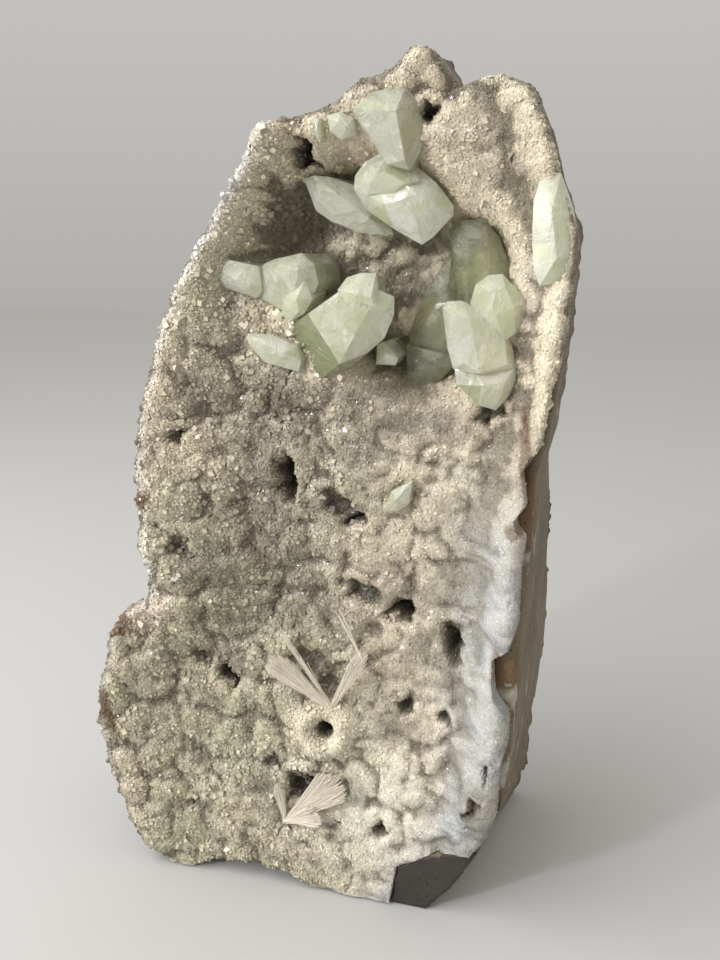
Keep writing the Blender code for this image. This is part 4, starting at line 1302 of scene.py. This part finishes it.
def combine(tree: bpy.types.NodeTree, kind: str, operation: str, a: bpy.types.NodeSocket,
            b: bpy.types.NodeSocket) -> bpy.types.NodeSocket:
    """Result of a math or vector math node for two sockets."""
    node = add_node(tree, kind, operation=operation)
    feed(node, 0, a)
    feed(node, 1, b)
    return node.outputs[0]


def bump(tree: bpy.types.NodeTree, height: bpy.types.NodeSocket, strength: float,
         distance: float, under: bpy.types.NodeSocket | None = None,
         sunk: bool = False) -> bpy.types.NodeSocket:
    """Shading normal raised by a height, or sunk by it, on top of another bump if given."""
    node = add_node(tree, "ShaderNodeBump", invert=sunk, Strength=strength, Distance=distance,
                    Height=height)
    if under is not None:
        set_inputs(node, Normal=under)
    return node.outputs["Normal"]


def grain_group() -> bpy.types.NodeTree:
    """Node group of mineral grain: a mask of facets and a height, at a chosen size."""
    tree = bpy.data.node_groups.new("mineral_grain", "ShaderNodeTree")
    for name, way, kind in (("Place", "INPUT", "Vector"), ("Per metre", "INPUT", "Float"),
                            ("Facets", "OUTPUT", "Float"), ("Height", "OUTPUT", "Float")):
        tree.interface.new_socket(name, in_out=way, socket_type=f"NodeSocket{kind}")
    start, end = tree.nodes.new("NodeGroupInput"), tree.nodes.new("NodeGroupOutput")
    cells = add_node(tree, "ShaderNodeTexVoronoi", feature="F1", Randomness=1.0,
                     Vector=start.outputs["Place"], Scale=start.outputs["Per metre"])
    split = add_node(tree, "ShaderNodeSeparateColor", Color=cells.outputs["Color"])
    set_inputs(end, Facets=split.outputs["Red"],
               Height=ramp(tree, cells.outputs["Distance"], 0.0, 0.8, 1.0, 0.0))
    return tree


def grain_at(tree: bpy.types.NodeTree, grain: bpy.types.NodeTree, place: bpy.types.NodeSocket,
             per_metre: float) -> tuple[bpy.types.NodeSocket, bpy.types.NodeSocket]:
    """Facets and height of the mineral grain at a place."""
    group = add_node(tree, "ShaderNodeGroup", node_tree=grain, Per_metre=per_metre, Place=place)
    return group.outputs["Facets"], group.outputs["Height"]


@dataclass(frozen=True)
class DruseFinish:
    """Sparkling grain of the druse, on the crust and on its small crystals."""

    name: str
    roughness: tuple[float, float]
    per_metre: float
    grain_bump: float
    evenness: float
    glint: Colour = (0.80, 0.76, 0.64)
    refraction: float = 1.54

    def material(self, grain: bpy.types.NodeTree) -> bpy.types.Material:
        """Make the material.

        Args:
            grain: Node group of mineral grain.

        Returns:
            The material, coloured by the tint of each piece.
        """
        material, tree, shader = new_material(self.name)
        facets, height = grain_at(tree, grain, object_place(tree), self.per_metre)
        pale = mix(tree, ramp(tree, facets, 0.0, 1.0, 0.0, 0.12), painted(tree, "tint"), self.glint)
        normal = bump(tree, height, self.grain_bump, 0.4 * MM)
        if self.evenness > 0.0:
            normal = self.evened(tree, normal)
            set_inputs(shader, Specular_IOR_Level=0.45)
        set_inputs(shader, Base_Color=pale, Normal=normal, IOR=self.refraction,
                   Roughness=ramp(tree, facets, 0.0, 1.0, *self.roughness))
        return material

    def evened(self, tree: bpy.types.NodeTree,
               normal: bpy.types.NodeSocket) -> bpy.types.NodeSocket:
        """The normal blended into the facing that is stored for each small crystal."""
        facing = add_node(tree, "ShaderNodeAttribute", attribute_name="facing")
        even = add_node(tree, "ShaderNodeMix", data_type="VECTOR", Factor=self.evenness)
        feed(even, 4, normal)
        feed(even, 5, facing.outputs["Vector"])
        whole = add_node(tree, "ShaderNodeVectorMath", operation="NORMALIZE")
        feed(whole, 0, even.outputs[1])
        return whole.outputs["Vector"]


@dataclass(frozen=True)
class CrystalFinish:
    """Pale green apophyllite, clear to milky."""

    name: str
    milky: Colour
    clear: Colour
    absorbs: Colour
    density: float
    transmission: float
    glow: float
    refraction: float = 1.54

    def material(self) -> bpy.types.Material:
        """Make the material."""
        material, tree, shader = new_material(self.name)
        place = object_place(tree)
        veil = noise(tree, place, Scale=80.0, Detail=7.0, Roughness=0.66, Distortion=1.8)
        fine = noise(tree, place, Scale=420.0, Detail=4.0, Roughness=0.6)
        tone = mix(tree, ramp(tree, veil, 0.36, 0.6), self.clear, self.milky)
        tone = mix(tree, 1.0, tone, painted(tree, "tint"), "MULTIPLY")
        lobes = add_node(tree, "ShaderNodeTexVoronoi", feature="SMOOTH_F1", Vector=place,
                         Scale=170.0, Smoothness=0.35)
        steps = bump(tree, lobes.outputs["Distance"], 0.45, 1.4 * MM, sunk=True)
        patchy = combine(tree, "ShaderNodeMath", "MULTIPLY", fine,
                         ramp(tree, veil, 0.44, 0.56, 0.25, 1.0))
        pits = bump(tree, patchy, 0.68, 1.1 * MM, steps)
        set_inputs(shader, Base_Color=tone, Normal=pits, IOR=self.refraction,
                   Roughness=ramp(tree, veil, 0.3, 0.7, 0.03, 0.13), Coat_Weight=0.6,
                   Coat_Roughness=0.03, Transmission_Weight=self.transmission,
                   Subsurface_Weight=self.glow, Subsurface_Radius=(1.0, 1.0, 0.8),
                   Subsurface_Scale=5.0 * MM)
        inner = add_node(tree, "ShaderNodeVolumeAbsorption", Density=self.density,
                         Color=(*self.absorbs, 1.0))
        set_inputs(tree.nodes["Material Output"], Volume=inner.outputs["Volume"])
        return material


@dataclass(frozen=True)
class NeedleFinish:
    """Silky cream needles."""

    name: str
    roughness: float
    streak: Colour = (0.95, 0.90, 0.78)

    def material(self) -> bpy.types.Material:
        """Make the material."""
        material, tree, shader = new_material(self.name)
        streaks = noise(tree, object_place(tree), Scale=600.0, Detail=2.0)
        tone = mix(tree, ramp(tree, streaks, 0.3, 0.7, 0.0, 0.3), painted(tree, "tint"),
                   self.streak)
        set_inputs(shader, Base_Color=tone, Roughness=self.roughness, Subsurface_Weight=0.2,
                   Subsurface_Radius=(1.0, 0.9, 0.7), Subsurface_Scale=0.8 * MM)
        return material


@dataclass(frozen=True)
class BasaltFinish:
    """Sawn and broken basalt."""

    name: str
    sawn: Colour
    dark: Colour
    broken: Colour
    rust: Colour
    filling: Colour
    fleck: Colour = (0.03, 0.028, 0.025)
    groove: Colour = (0.05, 0.04, 0.03)
    # Painted shade in the pores
    pore_shade: Colour = (0.02, 0.017, 0.014)

    def material(self, grain: bpy.types.NodeTree) -> bpy.types.Material:
        """Make the material.

        Args:
            grain: Node group of mineral grain.

        Returns:
            The material, with saw marks where the stone is sawn.
        """
        material, tree, shader = new_material(self.name)
        place = object_place(tree)
        mottle = noise(tree, place, Scale=45.0, Detail=7.0, Roughness=0.65)
        fleck = noise(tree, place, Scale=700.0, Detail=3.0, Roughness=0.7)
        saw = add_node(tree, "ShaderNodeTexWave", bands_direction="Z", Vector=place, Scale=520.0,
                       Distortion=0.8, Detail=2.0).outputs["Fac"]
        moved = self.moved(tree, place)
        fillings = self.spots(tree, grain_at(tree, grain, moved, 190.0), (0.86, 0.9), (0.62, 0.74))
        vesicles = self.spots(tree, grain_at(tree, grain, moved, 330.0), (0.8, 0.84), (0.66, 0.74))
        tone = mix(tree, ramp(tree, mottle, 0.35, 0.65), self.dark, self.sawn)
        tone = mix(tree, 1.0, tone, painted(tree, "tint"), "MULTIPLY")
        broken = mix(tree, ramp(tree, mottle, 0.3, 0.7), self.broken, self.rust)
        tone = mix(tree, painted(tree, "kind"), tone, broken)
        tone = mix(tree, fillings, tone, self.filling)
        tone = mix(tree, ramp(tree, fleck, 0.45, 0.75, 0.0, 0.35), tone, self.fleck)
        tone = mix(tree, ramp(tree, saw, 0.0, 0.5, 0.22, 0.0), tone, self.groove)
        # Pores painted near black, as painted shade, and sunk by the bump
        tone = mix(tree, vesicles, tone, self.pore_shade)
        marks = bump(tree, saw, 0.25, 0.15 * MM)
        rough = bump(tree, fleck, 0.6, 0.7 * MM, marks)
        set_inputs(shader, Base_Color=tone, Normal=bump(tree, vesicles, 0.8, 0.5 * MM, rough, True),
                   Roughness=ramp(tree, mottle, 0.3, 0.7, 0.9, 0.66))
        return material

    def moved(self, tree: bpy.types.NodeTree,
              place: bpy.types.NodeSocket) -> bpy.types.NodeSocket:
        """Place moved a little by a noise, so that no spot is round."""
        stray = add_node(tree, "ShaderNodeTexNoise", Vector=place, Scale=320.0, Detail=2.0)
        away = add_node(tree, "ShaderNodeVectorMath", operation="SCALE", Scale=6.0 * MM)
        feed(away, 0, stray.outputs["Color"])
        return combine(tree, "ShaderNodeVectorMath", "ADD", place, away.outputs["Vector"])

    def spots(self, tree: bpy.types.NodeTree,
              grain: tuple[bpy.types.NodeSocket, bpy.types.NodeSocket],
              facets: tuple[float, float], heights: tuple[float, float]) -> bpy.types.NodeSocket:
        """1 on the grains whose facet value and height pass the two ramps."""
        return combine(tree, "ShaderNodeMath", "MULTIPLY", ramp(tree, grain[0], *facets),
                       ramp(tree, grain[1], *heights))


@dataclass(frozen=True)
class Studio:
    """Pale floor, soft light and the camera at the angle of the photograph."""

    eye: tuple[float, float, float] = (0.118, -0.3566, 0.25165)
    azimuth: float = 17.0
    down: float = 15.0
    lens: float = 37.5
    aim: tuple[float, float, float] = (0.0, 0.0, 0.17)
    floor_size: float = 4.0
    floor_gap: float = 0.5 * MM
    paper: Colour = (0.52, 0.52, 0.51)
    air: Colour = (1.0, 0.97, 0.93)
    key_power: float = 10.0
    edge_power: float = 3.3
    fill: float = 0.5

    def build(self) -> None:
        """Build floor, lights, world and camera."""
        deselect_all()
        bpy.ops.mesh.primitive_plane_add(size=self.floor_size, location=(0.0, 0.0, -self.floor_gap))
        floor = bpy.context.object
        floor.name = "studio_floor"
        material, _, shader = new_material("floor_paper")
        set_inputs(shader, Base_Color=(*self.paper, 1.0), Roughness=0.8)
        floor.data.materials.append(material)
        self.add_light("key_light", (-0.58, -0.48, 0.72), self.key_power, 1.2)
        self.add_light("edge_light", (-0.48, -0.85, 0.55), self.edge_power, 0.08)
        world = bpy.data.worlds.new("studio_air")
        bpy.context.scene.world = world
        bpy.context.scene.view_settings.view_transform = "Standard"
        world.use_nodes = True
        tree = world.node_tree
        way = add_node(tree, "ShaderNodeTexCoord").outputs["Generated"]
        height = add_node(tree, "ShaderNodeSeparateXYZ", Vector=way).outputs["Z"]
        set_inputs(tree.nodes["Background"], Color=(*self.air, 1.0),
                   Strength=ramp(tree, height, -0.6, 0.9, 0.45 * self.fill, 1.7 * self.fill))
        self.add_camera()

    def add_light(self, name: str, place: tuple[float, float, float], power: float,
                  size: float) -> None:
        """Soft square light that looks at the middle of the piece."""
        data = bpy.data.lights.new(name, "AREA")
        data.energy = power
        data.size = size
        light = put(name, data)
        light.location = place
        way = Vector(self.aim) - Vector(place)
        light.rotation_euler = way.to_track_quat("-Z", "Y").to_euler()

    def add_camera(self) -> None:
        """Camera at the place that the photograph was taken from."""
        data = bpy.data.cameras.new("camera")
        data.lens = self.lens
        data.sensor_width = 36.0
        data.clip_start = 0.01
        camera = put("camera", data)
        a, e = math.radians(self.azimuth), math.radians(self.down)
        back = Vector((math.sin(a) * math.cos(e), -math.cos(a) * math.cos(e), math.sin(e)))
        camera.location = self.eye
        camera.rotation_euler = back.to_track_quat("Z", "Y").to_euler()
        bpy.context.scene.camera = camera


def crystal_forms(*rows: tuple) -> tuple[CrystalForm, ...]:
    """Crystal forms from plain rows of values."""
    return tuple(CrystalForm(*row) for row in rows)


TOP_CRYSTALS = crystal_forms(
    (((20, 1, 282.5), (26, 3, 287.5), (36.5, 3, 289), (39.5, 4, 284.5), (41.5, 6, 277.5),
      (41.5, 7, 272), (38, 2, 264), (31, 2, 266), (25, 2, 274), (21, 2, 279.5),
      (35, -3.5, 281), (37.5, -1.5, 267)), (1, 22, -1), 0.85, 0.0, 0.79),
    (((17.5, 10, 259), (18, 10, 263), (21.5, 9, 267), (26.5, 9, 269.5), (33, 9, 268),
      (40, 10, 264.5), (45, 10, 260.5), (50.5, 11, 253.5), (50.5, 10, 250.5), (44.5, 9, 244),
      (41, 8, 241.5), (37.5, 8, 244), (32, 9, 246), (21.5, 10, 252.5), (39.5, 4, 257),
      (45.5, 5.5, 253.5), (39.5, 5, 249.5), (29.5, 5, 254)), (-4, 34, 3), 0.6),
    (((18.5, 8, 261), (22.5, 8, 267), (30, 8, 269.5), (38.5, 8, 264.5), (40.5, 6, 261),
      (32, 5, 257.5), (23, 6.5, 257), (28, 2.5, 264.5), (36.5, 2.8, 260.5)), (-3, 28, 2), 0.7),
    (((-2.5, 18, 262.5), (1.5, 17, 263.5), (6.5, 17, 263), (16, 18, 260), (27.5, 18, 247.5),
      (29, 18, 244.5), (26, 17, 244), (18, 16, 245), (8, 16, 248.5), (2.5, 16, 252),
      (0.5, 17, 256), (11.5, 13, 257), (22, 13.5, 249.5), (5, 15, 259)), (4, 30, 2), 0.7, 0.0,
     0.82),
)
RIGHT_BACK_CRYSTALS = crystal_forms(
    (((48, 15, 246), (52, 15, 249), (60, 15, 249.5), (64.5, 15, 244), (68, 15, 236),
      (69, 14, 230.5), (65, 14, 222), (53, 15, 217), (51.5, 14.5, 233.5), (55, 12, 244),
      (61.5, 12, 243), (64, 11.5, 231), (56, 12, 222)), (1, 24, -2), 0.8),
    (((47.5, 25, 239), (44, 24.5, 234.5), (40.5, 24, 227), (35, 23.5, 216.5), (33, 24, 210),
      (33.5, 24, 207.5), (47, 22, 205), (52.5, 23, 215), (52.5, 24.5, 228.5), (47, 21, 229.5),
      (39.5, 20.5, 215), (47.5, 19.5, 213)), (3, 26, -4), 0.85),
    (((32.5, 23, 207.5), (47.5, 21, 205), (50, 21, 201.5), (45, 22, 196), (37.5, 24, 191.5),
      (32.5, 24, 194), (41.5, 19.5, 202.5), (45.5, 19.5, 200.5)), (4, 20, 2), 0.9),
)
RIGHT_FRONT_CRYSTALS = crystal_forms(
    (((48.5, 6, 222), (50, 6, 224), (54.5, 6, 224.5), (58, 6, 222.5), (67.5, 8, 219),
      (69, 8, 212.5), (71.5, 9, 208.5), (72, 7, 203), (60, 5.5, 201), (52.5, 6, 202.5),
      (50.5, 6, 209), (52, 2.5, 220), (58, 2.5, 219.5), (62, 2.5, 202), (70.5, 4, 205),
      (56.5, 2.8, 205)), (-1, 28, -1), 0.75),
    (((57.5, 6, 223.5), (59, 6, 229.5), (63, 6, 232.5), (67.5, 6, 233), (72.5, 8, 227),
      (75.5, 8, 224.5), (75, 8, 220.5), (72, 7, 214.5), (69.5, 6, 212.5), (64, 5, 217),
      (64, 2.5, 228), (69, 2.8, 229), (72, 3.5, 223), (66, 2.5, 220.5)), (-3, 24, 0), 0.8),
    (((52.5, 8, 202), (59.5, 6.5, 200.5), (72, 7, 203), (73, 9, 205), (72.5, 9, 199),
      (70.5, 9, 194), (66.5, 9, 189), (60.5, 8.5, 190.5), (58.5, 8, 194.5), (53.5, 8, 197),
      (62, 5.5, 197.5), (69.5, 6, 199)), (-2, 22, 1), 0.85, 0.6),
)
LEFT_CRYSTALS = crystal_forms(
    (((2.5, 4.5, 218.5), (17, 5, 228.5), (27.5, 7, 227), (32, 8, 225), (32, 8, 219),
      (29, 7, 211.5), (23.5, 6, 206.5), (15, 2, 203), (-6.5, 11, 213.5), (5, 10, 196),
      (16, 9, 200.5), (3.5, 3.5, 219), (24, 2.5, 219.5)), (-4, 18, -3), 0.9, 1.0, 0.86),
    (((13.5, 5, 227), (16.5, 6, 231), (21, 6.5, 232.5), (26, 7, 232.5), (27, 6.5, 227.5),
      (27, 5, 220.5), (16.5, 5, 219), (17.5, 2.5, 226.5), (25.5, 3, 225)), (-2, 18, -2), 0.9),
    (((-18.5, 9, 226.5), (-16, 9, 232.5), (-13.5, 9, 235), (-9.5, 9, 236.5), (-0.5, 9.5, 238.5),
      (4, 9, 235), (5.5, 9, 228.5), (4, 8.5, 225.5), (-6.5, 8, 219), (-11.5, 8, 222),
      (-16.5, 9, 223.5), (-7.5, 5.5, 232.5), (-0.5, 5.5, 233), (-2, 5.5, 225)), (2, 24, 0), 0.85,
     0.0, 0.88),
    (((-34.5, 6, 228.5), (-31, 6, 232), (-28, 6, 236.5), (-19.5, 6, 234), (-15, 7, 234),
      (-14, 7, 226), (-16, 7, 223.5), (-19, 6, 224.5), (-27.5, 5.5, 227.5), (-21.5, 3, 229.5),
      (-26.5, 3.5, 232)), (2, 20, 0), 0.9),
    (((-6, 7, 227), (1.5, 7, 230), (4, 7, 223.5), (1, 6.5, 218.5), (-4.5, 6.5, 215.5),
      (-7, 6.5, 218.5), (-0.5, 4, 224), (0, 4.2, 219.5)), (0, 16, 1), 0.9),
)
SIDE_CRYSTALS = crystal_forms(
    (((-20, 6, 210.5), (-18.5, 6, 211.5), (-11.5, 6.5, 211.5), (-2, 6.5, 208), (0, 6.5, 203),
      (-1, 6, 199), (-9, 5, 201), (-13, 5, 202), (-19, 5.5, 208), (-12, 3, 208.5),
      (-5, 3, 205.5)), (2, 18, 0), 0.85),
)
RIM_CRYSTALS = crystal_forms(
    (((77, -1, 254.5), (78.5, -1, 260.5), (84.5, 0, 263), (88, 3, 254), (89.8, 4, 247),
      (90, 3.5, 238), (88.3, 2, 231), (80, -1, 230), (78, -1, 234.5), (77, -1, 244),
      (83, -4, 252), (85, -4, 238.5), (81, -3.8, 246)), (-1, 18, 0), 0.95),
)
FOOT_CRYSTALS = crystal_forms(
    (((24.5, 14, 208.5), (27, 14, 209.5), (32, 14, 204), (31, 14, 201.5), (24, 14, 201.5),
      (28.5, 11.5, 205.5)), (0, 20, 0), 0.9),
)
BLADE_CRYSTALS = crystal_forms(
    (((29, 8, 151.5), (31.5, 8, 159), (39, 8, 163.5), (38, 8, 155), (34, 8, 152),
      (34, 5.8, 157)), (0, 16, 0), 0.9),
)
BROW_CRYSTALS = crystal_forms(
    (((10.5, 4, 281), (15, 4, 282), (19.5, 4, 280), (20, 4, 275), (15.5, 4, 273.5),
      (11.5, 4, 276), (15.5, 1, 279), (17.5, 1.2, 276.5)), (0, 18, 0), 0.9),
    (((6.5, 3, 280.5), (8.5, 3, 280), (9, 3, 274), (8.5, 3, 272.5), (7, 3, 275),
      (8, 1.5, 276.5)), (1.5, 18, 2), 0.9),
)
UPPER_FANS = (
    Fan((9.5, 7.0, 74.0), (-11.5, -1.5, 95.0), 12.0, 640),
    Fan((9.5, 7.0, 74.0), (-12.7, 0.0, 113.8), 1.5, 5, 0.3),
    Fan((9.5, 7.0, 74.0), (-5.6, -1.0, 104.5), 2.0, 8, 0.3),
    Fan((9.5, 7.0, 74.0), (0.1, -1.0, 97.8), 3.0, 14, 0.35),
    Fan((9.5, 7.0, 74.0), (25.0, -1.5, 102.5), 7.0, 330),
    Fan((24.0, -1.0, 99.0), (14.1, -1.0, 118.5), 2.5, 12, 0.3),
)
LOWER_FANS = (
    Fan((-8.0, 2.5, 26.0), (16.5, -4.0, 51.5), 17.0, 820),
    Fan((-8.0, 2.5, 26.0), (8.5, -3.5, 35.0), 11.0, 460),
    Fan((-8.0, 2.5, 26.0), (-9.0, -2.5, 45.0), 5.5, 190),
)

DRUSE_SURFACE = DruseFinish("druse_surface", roughness=(0.25, 0.6), per_metre=900.0,
                            grain_bump=0.6, evenness=0.0)
DRUSE_POINTS = DruseFinish("druse_points", roughness=(0.14, 0.6), per_metre=650.0,
                           grain_bump=0.1, evenness=0.86)
MILKY = CrystalFinish("apophyllite_milky", milky=(1.0, 0.98, 0.86), clear=(0.86, 0.90, 0.68),
                      absorbs=(0.88, 0.93, 0.62), density=14.0, transmission=0.48, glow=0.35)
CLEAR = CrystalFinish("apophyllite_clear", milky=(0.90, 0.88, 0.68), clear=(0.84, 0.85, 0.62),
                      absorbs=(0.74, 0.82, 0.46), density=60.0, transmission=0.86, glow=0.0)
PLATE = CrystalFinish("apophyllite_plate", milky=(1.0, 0.99, 0.88), clear=(0.94, 0.96, 0.78),
                      absorbs=(0.88, 0.93, 0.62), density=14.0, transmission=0.28, glow=0.35)
NEEDLES = NeedleFinish("scolecite_needles", roughness=0.42)
BASALT = BasaltFinish("basalt_sawn", sawn=(1.0, 1.0, 1.0), dark=(0.72, 0.72, 0.72),
                      broken=(0.10, 0.09, 0.07), rust=(0.17, 0.12, 0.07),
                      filling=(0.36, 0.34, 0.29))
# Solid that is replaced, name, crystals and finish of each group
CRYSTAL_GROUPS = (
    ("top_group", "top_group", TOP_CRYSTALS, MILKY),
    ("right_group", "right_group_front", RIGHT_FRONT_CRYSTALS, MILKY),
    ("right_group", "right_group_back", RIGHT_BACK_CRYSTALS, CLEAR),
    ("left_group", "left_group", LEFT_CRYSTALS, MILKY),
    ("side_crystal", "side_crystal", SIDE_CRYSTALS, MILKY),
    ("rim_crystal", "rim_crystal", RIM_CRYSTALS, PLATE),
    ("foot_crystal", "foot_crystal", FOOT_CRYSTALS, MILKY),
    ("small_blade", "small_blade", BLADE_CRYSTALS, MILKY),
    ("brow_pair", "brow_pair", BROW_CRYSTALS, MILKY),
)
SPRAYS = (("upper", UPPER_FANS, 11), ("lower", LOWER_FANS, 12))


def show(piece: bpy.types.Object, slot: str, *nodes: str) -> None:
    """Tie a finished piece to the part and hide the solids it stands for."""
    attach(piece, "root")
    if nodes:
        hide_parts(*nodes)
    piece.data.calc_loop_triangles()
    log.info("%s: %d triangles", piece.name, len(piece.data.loop_triangles))


def main() -> None:
    """Build all sub-assemblies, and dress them."""
    logging.basicConfig(level=logging.INFO, format="%(message)s")
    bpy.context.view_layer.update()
    grain = grain_group()
    surface, points = DRUSE_SURFACE.material(grain), DRUSE_POINTS.material(grain)
    crystal = {finish: finish.material() for finish in (MILKY, CLEAR, PLATE)}
    needles, stone = NEEDLES.material(), BASALT.material(grain)
    basalt = SawnBasalt().build(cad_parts["basalt_matrix"], stone)
    show(basalt, "basalt", "basalt_matrix")
    crust, *bands = DruseCrust().build(surface, points)
    show(crust, "druse", "druse_crust")
    for band in bands:
        show(band, "druse")
    for node, name, forms, finish in CRYSTAL_GROUPS:
        group = CrystalGroup(f"apophyllite_{name}_clear", forms).build(crystal[finish])
        show(group, "apophyllite", f"apophyllite_{node}")
    for name, fans, seed in SPRAYS:
        spray = NeedleSpray(f"scolecite_{name}_needles", fans, seed=seed).build(needles)
        show(spray, "scolecite", f"scolecite_{name}_spray")
    Studio().build()


if __name__ == "__main__":
    main()
